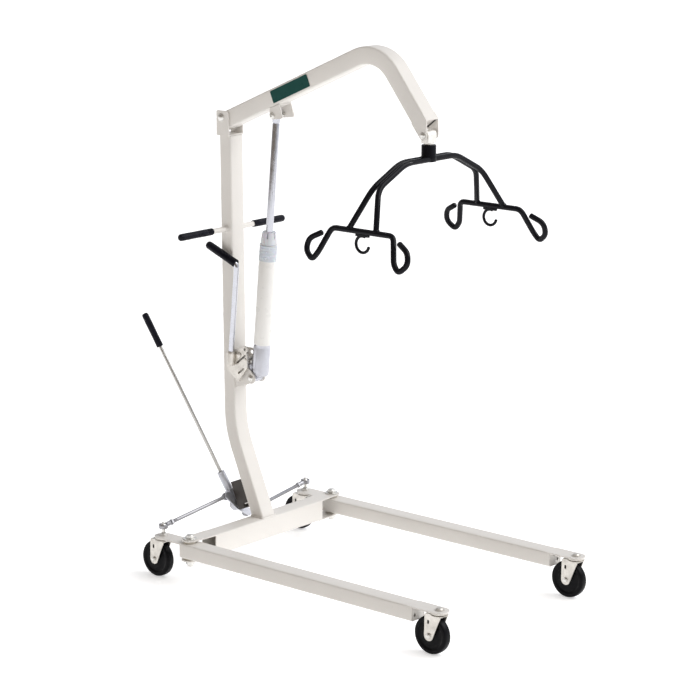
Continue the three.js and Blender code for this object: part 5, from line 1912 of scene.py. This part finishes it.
@dataclass(frozen=True)
class Boom:
    """Cranked square boom with its rod channel, plain label and forked tip."""

    width: float = 50.8
    depth: float = 47.0
    wall: float = 3.0
    corner: float = 5.0
    pivot_y: float = 115.6
    pivot_z: float = 1243.0
    drop: float = 13.0
    tail: float = 14.0
    rise: float = 23.5
    fall: float = 52.0
    outer_r: float = 125.0
    crest_y: float = -400.7
    pin_y: float = -586.0
    pin_z: float = 1256.0
    back: float = 24.0
    lobe: float = 12.5
    stop_from: float = 4.0
    stop_to: float = 7.0
    rod_pin_y: float = -69.0
    rod_pin_z: float = 1263.0
    label_from: float = 196.0
    label_length: float = 142.0
    label_height: float = 34.0
    label_drop: float = 6.0

    def up_run(self) -> tuple[Vector, Vector]:
        """Returns the rising run's direction and its upward normal."""
        a = math.radians(self.rise)
        return Vector((0, -math.cos(a), math.sin(a))), Vector((0, math.sin(a), math.cos(a)))

    def down_run(self) -> tuple[Vector, Vector]:
        """Returns the falling run's direction and its outward normal."""
        a = math.radians(self.fall)
        return Vector((0, -math.cos(a), -math.sin(a))), Vector((0, -math.sin(a), math.cos(a)))

    def centre(self) -> Vector:
        """Works out the centre of the crank's bend.

        Returns:
            The centre.
        """
        _, normal = self.up_run()
        pivot = Vector((0, self.pivot_y, self.pivot_z))
        top = normal.dot(pivot) + self.drop
        return Vector((0, self.crest_y, (top - self.outer_r - normal.y * self.crest_y) / normal.z))

    def stations(self) -> list[tuple[Vector, Vector, Vector]]:
        """Works out the sections along the boom, from tail to tip.

        Returns:
            For each section its centre and its two cross directions.
        """
        middle = self.outer_r - self.depth / 2
        up, up_normal = self.up_run()
        down, down_normal = self.down_run()
        across = Vector((1, 0, 0))
        pivot = Vector((0, self.pivot_y, self.pivot_z))
        centre = self.centre()
        tail = pivot - up * self.tail + up_normal * (self.drop - self.depth / 2)
        result = [(tail, across, up_normal)]
        steps = 22
        for i in range(steps + 1):
            angle = math.radians(90 - self.rise + (self.rise + self.fall) * i / steps)
            out = Vector((0, math.cos(angle), math.sin(angle)))
            result.append((centre + out * middle, across, out))
        pin = Vector((0, self.pin_y, self.pin_z))
        reach = (pin - centre).dot(down) - self.back
        result.append((centre + down_normal * middle + down * reach, across, down_normal))
        return result

    def ears(self) -> Solid:
        """Makes the two side walls that run on round the hanger pin, and the stop web inside the tube's end.

        Returns:
            The walls and the web.
        """
        tip, _, normal = self.stations()[-1]
        down, _ = self.down_run()
        half = self.depth / 2 - 1.2
        corners = [tip + normal * s * half - down * b for s in (1, -1) for b in (20, 1)]
        outline = band([(c.y, c.z, 1.0) for c in corners] + [(self.pin_y, self.pin_z, self.lobe)])
        half_x = self.width / 2
        plates = [
            plate_x(outline, *x)
            for x in ((-half_x + 0.02, -half_x + self.wall), (half_x - self.wall, half_x - 0.02))
        ]
        hole = along_x(disc(5.3, -40, 40, 0.1)).moved(0, self.pin_y, self.pin_z)
        inside = self.depth / 2 - self.wall + 0.2
        near, far = self.stop_from, self.stop_to
        spots = ((1, far), (1, near), (-1, near), (-1, far))
        stop = [tip + normal * s * inside - down * b for s, b in spots]
        web = plate_x([(c.y, c.z) for c in stop], -half_x + self.wall - 0.2, half_x - self.wall + 0.2)
        return union([carved(union(plates), [hole]), web])

    def rod_channel(self) -> Solid:
        """Makes the channel under the boom that takes the jack's rod.

        Returns:
            The rod channel.
        """
        _, normal = self.up_run()
        pivot = Vector((0, self.pivot_y, self.pivot_z))
        line = normal.dot(pivot) + self.drop - self.depth - 0.3

        def under(y: float, extra: float = 0.0) -> float:
            """Returns the height of the boom's underside at y."""
            return (line - extra - normal.y * y) / normal.z

        rear, brow, toe = self.rod_pin_y + 10, self.rod_pin_y - 24, self.rod_pin_y - 36
        low = self.rod_pin_z - 10
        outline = [(rear, under(rear)), (brow, under(brow)), (toe, low + 8), (toe + 4, low + 4)]
        outline += arc(self.rod_pin_y, self.rod_pin_z, 10, -90, 0, 12)
        half, inner = self.width / 2, self.width / 2 - 4
        cheeks = union([plate_x(outline, *x) for x in ((-half, -inner), (inner, half))])
        web = plate_x([
            (rear - 0.4, under(rear - 0.4)), (brow + 0.6, under(brow + 0.6)),
            (brow + 0.6, under(brow + 0.6, 3)), (rear - 0.4, under(rear - 0.4, 3)),
        ], -half + 0.5, half - 0.5)
        return union([cheeks, web])

    def rod_screw(self) -> Solid:
        """Makes one shoulder screw with a socket in its head.

        Returns:
            The rod screw.
        """
        seat = self.width / 2 + 0.3
        head = lathe([
            (0, 11.6), (5.5, 11.6), (5.5, seat), (8.5, seat), (8.5, seat + 2.2), (7.4, seat + 4),
            (5.2, seat + 5), (0, seat + 5),
        ], 36)
        socket = hexagon(3.2, seat + 1.6, seat + 8)
        return along_x(carved(head, [socket])).moved(0, self.rod_pin_y, self.rod_pin_z)

    def label(self) -> Solid:
        """Makes the plain label plate with round corners.

        Returns:
            The label.
        """
        along, normal = self.up_run()
        pivot = Vector((0, self.pivot_y, self.pivot_z))
        centre = pivot + along * (self.label_from + self.label_length / 2)
        centre += normal * (self.drop - self.label_drop - self.label_height / 2)
        x1 = -self.width / 2 - 0.3
        outline = []
        for a, b in rounded_rect(self.label_length, self.label_height, 2.5):
            corner = centre + along * a + normal * b
            outline.append((corner.y, corner.z))
        return plate_x(outline, x1 - 1.2, x1)

    def build(self, shop: Workshop) -> None:
        """Builds the boom and dresses it.

        Args:
            shop: the workshop that takes the pieces.
        """
        tube = box_tube(self.stations(), self.width, self.depth, self.wall, self.corner)
        shop.piece("boom_tube", tube, CREAM, "boom", ["boom"], Edge.PLATE)
        shop.piece("boom_tip_ears", self.ears(), CREAM, "boom", (), Edge.PLATE)
        shop.piece("boom_rod_channel", self.rod_channel(), CREAM, "boom", ["rod_bracket"], Edge.PLATE)
        for name, side in SIDES:
            screw = self.rod_screw() if side > 0 else self.rod_screw().mirrored()
            shop.piece(f"rod_shoulder_screw_{name}", screw, BRIGHT_ZINC, "boom", [f"rod_screw_{name}"])
        pin = Hardware().bolt(5, 7.5, 4, self.width / 2 + 0.3).moved(0, self.pin_y, self.pin_z)
        shop.piece("hanger_cross_pin", pin, BRIGHT_ZINC, "boom", ["hanger_pin"])
        shop.piece("boom_label_plate", self.label(), LABEL_GREEN, "boom", ["boom_label"], Edge.PLATE)


# ---------- spreader


@dataclass(frozen=True)
class Spreader:
    """Hanger block and the black spreader: boss, two arched rods, two cross bars with loops."""

    y: float = -586.0
    pin_z: float = 1256.0
    boss_top: float = 1231.0
    boss_bottom: float = 1187.0
    boss_r: float = 20.5
    rod_r: float = 7.5
    spacing: float = 18.0
    arch_z: float = 1194.0
    bend_x: float = 102.0
    split_x: float = 211.0
    split_z: float = 1142.0
    foot_y: float = 44.0
    bar_x: float = 262.0
    bar_z: float = 1040.0
    bar_half: float = 100.0
    recess: float = 14.0
    hook_r: float = 21.0
    hook_wire: float = 4.0
    hook_drop: float = 32.0

    def hanger(self) -> Solid:
        """Makes the hanger block with its bolt, and the nut inside the boss.

        Returns:
            The hanger.
        """
        low = self.boss_top + 5
        body = plate_x(band([(0, self.pin_z, 12), (-11, low, 1), (11, low, 1)]), -17, 17)
        hole = along_x(disc(5.3, -30, 30, 0.1)).moved(0, 0, self.pin_z)
        seat = self.boss_bottom + self.recess - 0.6
        bolt = disc(8, self.boss_bottom, low + 2, 0.8)
        neck = lathe([(0, 0.6), (12.5, 0.6), (13, 1.2), (12.6, 4.5), (0, 4.5)], 36).moved(0, 0, self.boss_top)
        nut = hexagon(14, seat - 11, seat)
        return union([carved(body, [hole]), bolt, neck, nut]).moved(0, self.y, 0)

    def boss(self) -> Solid:
        """Makes the turned boss with its eased rims and flange.

        Returns:
            The boss.
        """
        r, low, top = self.boss_r, self.boss_bottom, self.boss_top
        return lathe([
            (15.5, low), (r - 2, low), (r - 0.6, low + 0.6), (r, low + 2), (r, low + 13),
            (r - 1.2, low + 16), (r - 1.2, top - 2.2), (r - 1.8, top - 0.6), (r - 3.2, top), (8.3, top),
            (8.3, low + self.recess), (15.5, low + self.recess), (15.5, low),
        ], 56).moved(0, self.y, 0)

    def arch(self, sign: int) -> Solid:
        """Makes one of the two arched rods, from cross bar to cross bar.

        Args:
            sign: -1 for the front rod, 1 for the rear one.

        Returns:
            The rod.
        """
        half = self.spacing / 2

        def side(mirror: int) -> list[Vector]:
            """Places one side's corners, from the foot up.

            Args:
                mirror: -1 for the left, 1 for the right.

            Returns:
                The corners.
            """
            return [
                Vector((mirror * self.bar_x, sign * self.foot_y, self.bar_z + 3)),
                Vector((mirror * self.split_x, sign * half, self.split_z)),
                Vector((mirror * self.bend_x, sign * half, self.arch_z)),
            ]

        corners = side(-1) + side(1)[::-1]
        return wire(smooth_path(corners, 26, 10), self.rod_r, 28).moved(0, self.y, 0)

    def feet_welds(self) -> Solid:
        """Makes the welds where the arch meets the bars and where the rods part.

        Returns:
            The welds.
        """
        spots = []
        for mx in (-1, 1):
            for sy in (-1, 1):
                spots.append((mx * (self.bar_x - 1.2), sy * (self.foot_y - 0.6), self.bar_z + 7.2, 9.4, 3.4))
            spots.append((mx * (self.split_x - 22), 0, self.split_z + 9, 5.0, 6.0))
        welds = []
        for x, y, z, r, h in spots:
            bead = lathe([
                (0, -h), (r * 0.7, -h * 0.9), (r, -h * 0.3), (r * 0.93, h * 0.3),
                (r * 0.72, h * 0.85), (0, h),
            ], 24)
            welds.append(bead.moved(x, self.y + y, z))
        return union(welds)

    def cross_bar(self, side: int) -> Solid:
        """Makes a cross bar whose ends run down and curl into open sling loops.

        Args:
            side: -1 for the left, 1 for the right.

        Returns:
            The cross bar.
        """
        def end(sign: int) -> list[Vector]:
            """Places one end's corners, from the bar outward.

            Args:
                sign: -1 for the front end, 1 for the rear one.

            Returns:
                The corners.
            """
            shape = ((0, 0, 0), (28, 24, -64), (31, 41, -83), (25, 66, -62), (19, 61, -32), (9, 27, -15))
            return [
                Vector((side * (self.bar_x + dx), sign * (self.bar_half + dy), self.bar_z + dz))
                for dx, dy, dz in shape
            ]

        corners = end(-1)[::-1] + end(1)
        return wire(smooth_path(corners, 15, 9), self.rod_r, 28).moved(0, self.y, 0)

    def strap_hook(self, side: int) -> Solid:
        """Makes the small open hook on its weld plate.

        Args:
            side: -1 for the left, 1 for the right.

        Returns:
            The strap hook.
        """
        x, centre = side * self.bar_x, self.bar_z - self.hook_drop
        steps = 40
        path = []
        for i in range(steps + 1):
            angle = math.radians(70 + 275 * i / steps)
            path.append(Vector((x, -self.hook_r * math.cos(angle), centre + self.hook_r * math.sin(angle))))
        top = self.bar_z - self.rod_r + 0.6
        outline = [(x + a, b) for a, b in rounded_rect(2 * self.hook_wire, 44, 3)]
        plate = plate_z(outline, top - 5.6, top)
        return union([wire(path, self.hook_wire, 20), plate]).moved(0, self.y, 0)

    def build(self, shop: Workshop) -> None:
        """Builds the hanger and the spreader.

        Args:
            shop: the workshop that takes the pieces.
        """
        shop.piece("hanger_block", self.hanger(), HANGER_ZINC, "hanger", ["hanger"], Edge.PLATE)
        arch = union([self.boss(), self.arch(-1), self.arch(1)])
        shop.piece("spreader_arch_rods", arch, BLACK_COAT, "spreader", ["spreader_arch"])
        shop.piece("spreader_welds", self.feet_welds(), BLACK_COAT, "spreader")
        for name, side in SIDES:
            shop.piece(
                f"sling_bar_{name}", self.cross_bar(side), BLACK_COAT, "spreader", [f"spreader_bar_{name}"],
            )
            shop.piece(
                f"sling_strap_hook_{name}", self.strap_hook(side), BLACK_COAT, "spreader",
                [f"strap_hook_{name}"],
            )


# ---------- base lever


@dataclass(frozen=True)
class BaseLever:
    """Tall lever that spreads the legs through two tie rods."""

    mast: Mast
    rear_foot_y: float
    along: float = 43.0
    offset: float = 70.0
    tilt: float = 12.0
    pin_tilt: float = 44.0
    pin_radius: float = 42.0
    pin_r: float = 4.0
    leg_x: float = 293.0
    ball_y: float = 101.0
    ball_z: float = 145.8

    def matrix(self) -> Matrix:
        """Places the lever's own axes: z up the mast's back, y out of it.

        Returns:
            The matrix.
        """
        lean = math.radians(self.mast.lean)
        up, out = Vector((0, math.sin(lean), math.cos(lean))), Vector((0, math.cos(lean), -math.sin(lean)))
        pivot = Vector((0, self.rear_foot_y, BaseFrame.top)) + up * self.along + out * self.offset
        return Matrix.Translation(pivot) @ Matrix.Rotation(-lean, 4, "X")

    def reach(self, distance: float) -> Vector:
        """Returns a point on the lever's line in its own axes."""
        a = math.radians(self.tilt)
        return Vector((-math.sin(a), 0, math.cos(a))) * distance

    def pin(self, sign: int) -> Vector:
        """Returns a tie pin's place in the lever's axes."""
        a = math.radians(self.pin_tilt)
        return Vector((-math.sin(a), 0, math.cos(a))) * self.pin_radius * sign

    def mount(self) -> Solid:
        """Makes the dark block between mast and lever.

        Returns:
            The mount.
        """
        y0, y1 = 0.3 - self.offset, 0.3 - self.offset + 51
        low, high = 26 - self.along, 108 - self.along
        body = block((-15, 15), (y0, y1), (low, high))
        window = block((-9, 9), (y0 + 10, y1 - 8), (low - 2, high - 26))
        step = block((-20, 20), (y0 - 2, y0 + 26), (low - 2, low + 14))
        return carved(body, [window, step])

    def yoke(self) -> Solid:
        """Makes the cast yoke with its hub, two arms, pins, neck and socket.

        Returns:
            The yoke.
        """
        up, down = self.pin(1), self.pin(-1)
        hub = along_y(
            lathe([(6.8, -10), (15.4, -10), (16, -9.2), (16, 9.2), (15.4, 10), (6.8, 10), (6.8, -10)], 44)
        )
        arms = plate_y(band([(up.x, up.z, 10), (0, 0, 16), (down.x, down.z, 10)]), -10, -5.5)
        hole = along_y(disc(6.8, -30, 30, 0.1))
        pins = []
        for p in (up, down):
            pins.append(along_y(disc(self.pin_r, -9, 11, 0.4, 28)).moved(p.x, 0, p.z))
            pins.append(
                along_y(
                    lathe([(0, 8.5), (8.1, 8.5), (8.5, 8.9), (8.5, 10.4), (7.8, 11), (0, 11)], 32)
                ).moved(p.x, 0, p.z)
            )
        neck = turned_between(
            self.reach(8), self.reach(51), [(0, 0), (8.5, 0), (8.5, 30), (9, 36), (10.6, 43), (0, 43)],
        )
        clamp = block((-9.2, 9.2), (-9.9, 9.9), (12, 47)).turned("Y", -self.tilt)
        socket = turned_between(self.reach(50), self.reach(104), [
            (0, 0), (10.2, 0), (11, 1.2), (11, 46), (10.4, 48), (10.4, 50), (11, 51), (11, 52.8), (10, 54),
            (5.4, 54), (5.4, 2), (0, 2),
        ])
        screw = along_y(
            union([disc(4.4, 10.2, 12.6, 0.4, 28), hexagon(2.4, 12, 12.9)])
        ).moved(*self.reach(78))
        return union([hub, carved(arms, [hole]), *pins, neck, clamp, socket, screw])

    def pivot_bolt(self) -> Solid:
        """Makes the lever's pivot bolt.

        Returns:
            The pivot bolt.
        """
        return along_y(
            union([disc(6.5, -42.7, 11.6, 0.5), hexagon(11, 10.6, 18.6), disc(12.2, 10.5, 11.8, 0.3)])
        )

    def grip(self) -> Solid:
        """Makes the lever's dipped grip with a faint waist.

        Returns:
            The grip.
        """
        return turned_between(self.reach(498), self.reach(601), [
            (5.3, 0), (8.6, 0), (9.3, 0.9), (9.5, 2.4), (9.2, 34), (9.5, 72), (9.3, 96), (8, 100.6),
            (5.4, 102.6), (0, 103), (0, 100.3), (5.3, 100.3), (5.3, 0),
        ], 44)

    def tie_rod(self, side: int) -> Solid:
        """Makes a tie rod in the hoist's axes, with both eyes and its jam nuts.

        Args:
            side: -1 for the left leg's rod, 1 for the right leg's.

        Returns:
            The rod.
        """
        place = self.matrix()
        ball = Vector((side * self.leg_x, self.ball_y, self.ball_z))
        local = self.pin(-side)
        local.y = 1.5
        pin = place @ local
        way = (pin - ball).normalized()
        start, end = ball + way * 10, pin - way * 9
        length = (end - start).length
        threads = []
        for i in range(14):
            z = 20 + i * 1.6
            threads += [(4.8, z), (5.2, z + 0.8)]
        profile = [
            (0, 0), (6.4, 0), (6.4, 16), (5.6, 19), *threads, (4.4, 43), (5, 44), (5, length - 12),
            (5.6, length - 10), (6.2, length), (0, length),
        ]
        shaft = turned_between(start, end, profile, 28)
        nut = turned_between(start + way * 20.5, end, [(0, 0), (8, 0), (8, 6), (0, 6)], 6)
        ring = lathe([
            (9.2, -4.4), (11.4, -6), (12.3, -5.8), (13, -4.6), (13, 4.6), (12.3, 5.8), (11.4, 6),
            (9.2, 4.4), (9.2, -4.4),
        ], 44)
        eye = along_y(
            lathe([(6.7, -3), (10.3, -3), (11, -2.3), (11, 2.3), (10.3, 3), (6.7, 3), (6.7, -3)], 36)
        )
        eye = eye.turned("X", -self.mast.lean).turned("Z", side * 7)
        return union([shaft, nut, ring.moved(*ball), eye.moved(*pin)])

    def build(self, shop: Workshop) -> None:
        """Builds the lever, its mount and the tie rods.

        Args:
            shop: the workshop that takes the pieces.
        """
        place = self.matrix()
        shop.piece(
            "lever_mount_block", self.mount().through(place), DARK_PAINT, "base", ["shift_mount"],
            Edge.CAST,
        )
        shop.piece(
            "lever_pivot_bolt", self.pivot_bolt().through(place), BRIGHT_ZINC, "base", ["shift_pivot_bolt"],
        )
        shop.piece(
            "lever_cast_yoke", self.yoke().through(place), ALLOY, "shifter", ["shift_yoke"], Edge.PLATE,
        )
        rod = bar(self.reach(53), self.reach(597.4), 5)
        shop.piece("lever_rod", rod.through(place), SATIN_ROD, "shifter", ["shift_rod"])
        shop.piece("lever_grip", self.grip().through(place), GRIP, "shifter", ["shift_grip"])
        for name, side in SIDES:
            shop.piece(
                f"spreading_tie_rod_{name}", self.tie_rod(side), TIE_STEEL, f"tie_rod_{name}",
                [f"tie_rod_{name}"],
            )


# ---------- studio


@dataclass(frozen=True)
class Studio:
    """Pale floor, soft light and the camera."""

    yard: Yard
    eye: tuple[float, float, float] = (-4887.2, -4497.3, 2125.8)
    bearing: float = 49.43
    elevation: float = 12.88
    focal: float = 2465.0
    frame: float = 700.0
    sensor: float = 36.0
    shift: tuple[float, float] = (0.0034, -0.0017)
    floor_reach: float = 60.0
    sun_from: tuple[float, float, float] = (0.36, -0.56, 0.75)
    sun_power: float = 1.55
    sun_spread: float = 50.0
    strip_at: tuple[float, float, float] = (2.4, -2.5, 2.4)
    strip_aim: tuple[float, float, float] = (0.0, -0.3, 1.1)
    strip_size: tuple[float, float] = (0.14, 0.7)
    strip_power: float = 11.0
    sky_warm: tuple[float, ...] = (0.245, 0.205, 0.165, 1)
    sky_cool: tuple[float, ...] = (0.72, 0.74, 0.78, 1)
    sky_ramp: tuple[float, float] = (0.1, 0.75)
    floor_gap: float = 0.0004

    def camera(self) -> None:
        """Sets the camera."""
        data = bpy.data.cameras.new("studio_camera")
        data.sensor_width = self.sensor
        data.lens = self.focal / self.frame * self.sensor
        data.shift_x, data.shift_y = self.shift
        data.clip_end = 200.0
        obj = bpy.data.objects.new("studio_camera", data)
        tilt = math.radians(90 - self.elevation)
        obj.rotation_euler = (tilt, 0, -math.radians(self.bearing))
        obj.location = self.yard.metres(Vector(self.eye))
        bpy.context.scene.collection.objects.link(obj)
        bpy.context.scene.camera = obj

    def floor(self) -> None:
        """Lays the floor just under the wheels."""
        r = self.floor_reach
        mesh = bpy.data.meshes.new("studio_floor")
        mesh.from_pydata([(-r, -r, 0), (r, -r, 0), (r, r, 0), (-r, r, 0)], [], [(0, 1, 2, 3)])
        mesh.materials.append(PaleFloor("pale_floor", "", (0.90, 0.90, 0.90)).material())
        obj = bpy.data.objects.new("studio_floor", mesh)
        obj.location.z = -self.floor_gap
        bpy.context.scene.collection.objects.link(obj)
        obj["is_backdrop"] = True

    def light(self) -> None:
        """Sets a broad sun, a small strip light and a sky that is dimmer and warmer on the left."""
        lamp = bpy.data.lights.new("broad_key", "SUN")
        lamp.energy = self.sun_power
        lamp.angle = math.radians(self.sun_spread)
        lamp.color = (1.0, 0.99, 0.98)
        obj = bpy.data.objects.new("broad_key", lamp)
        obj.rotation_euler = Vector(self.sun_from).to_track_quat("Z", "Y").to_euler()
        bpy.context.scene.collection.objects.link(obj)
        strip = bpy.data.lights.new("crisp_strip", "AREA")
        strip.shape = "RECTANGLE"
        strip.size, strip.size_y = self.strip_size
        strip.energy = self.strip_power
        card = bpy.data.objects.new("crisp_strip", strip)
        card.location = Vector(self.strip_at)
        card.rotation_euler = (
            Vector(self.strip_at) - Vector(self.strip_aim)
        ).to_track_quat("Z", "Y").to_euler()
        bpy.context.scene.collection.objects.link(card)
        world = bpy.data.worlds.new("studio_sky")
        world.use_nodes = True
        tree = world.node_tree
        back = tree.nodes["Background"]
        coords = tree.nodes.new("ShaderNodeTexCoord")
        split = tree.nodes.new("ShaderNodeSeparateXYZ")
        ramp = tree.nodes.new("ShaderNodeValToRGB")
        spread = tree.nodes.new("ShaderNodeMapRange")
        for key, number in (("From Min", -1.0), ("From Max", 1.0)):
            spread.inputs[key].default_value = number
        tree.links.new(coords.outputs["Generated"], split.inputs["Vector"])
        tree.links.new(split.outputs["X"], spread.inputs["Value"])
        tree.links.new(spread.outputs["Result"], ramp.inputs["Fac"])
        tree.links.new(ramp.outputs["Color"], back.inputs["Color"])
        skies = (self.sky_warm, self.sky_cool)
        for stop, place, colour in zip(ramp.color_ramp.elements, self.sky_ramp, skies):
            stop.position = place
            stop.color = colour
        back.inputs["Strength"].default_value = 1.0
        bpy.context.scene.world = world

    def build(self) -> None:
        """Sets the whole studio."""
        self.camera()
        self.floor()
        self.light()
        bpy.context.scene.view_settings.view_transform = "Standard"


def corners(box: Iterable[Iterable[float]]) -> list[list[float]]:
    """Returns a box as plain lists."""
    return [[float(c) for c in corner] for corner in box]


def main() -> None:
    """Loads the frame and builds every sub-assembly."""
    logging.basicConfig(level=logging.INFO, format="%(name)s: %(message)s")
    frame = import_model()
    cad_box = corners(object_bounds())
    yard = Yard.from_joints(frame["joints"])
    shop = Workshop(yard)
    mast = Mast()
    low, _ = mast.runs()
    rear_foot = mast.knee_y - (mast.knee_z - BaseFrame.top) * low.y / low.z + mast.depth / low.z
    assemblies: list[
        BaseFrame | Leg | Caster | Mast | Jack | PumpHandle | Boom | Spreader | BaseLever
    ] = [BaseFrame()]
    for name, side in SIDES:
        leg = Leg(name, side)
        assemblies.append(leg)
        for end, stem in zip(ENDS, (leg.front_stem, leg.rear_stem)):
            assemblies.append(Caster(end, name, side, leg.x, stem))
    assemblies += [mast, Jack(), PumpHandle(), Boom(), Spreader(), BaseLever(mast, rear_foot)]
    for assembly in assemblies:
        LOG.info("building %s", type(assembly).__name__)
        assembly.build(shop)
    Studio(yard).build()
    LOG.info("%d pieces", shop.made)
    {"cad": cad_box, "visual": corners(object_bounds())}


if __name__ == "__main__":
    main()
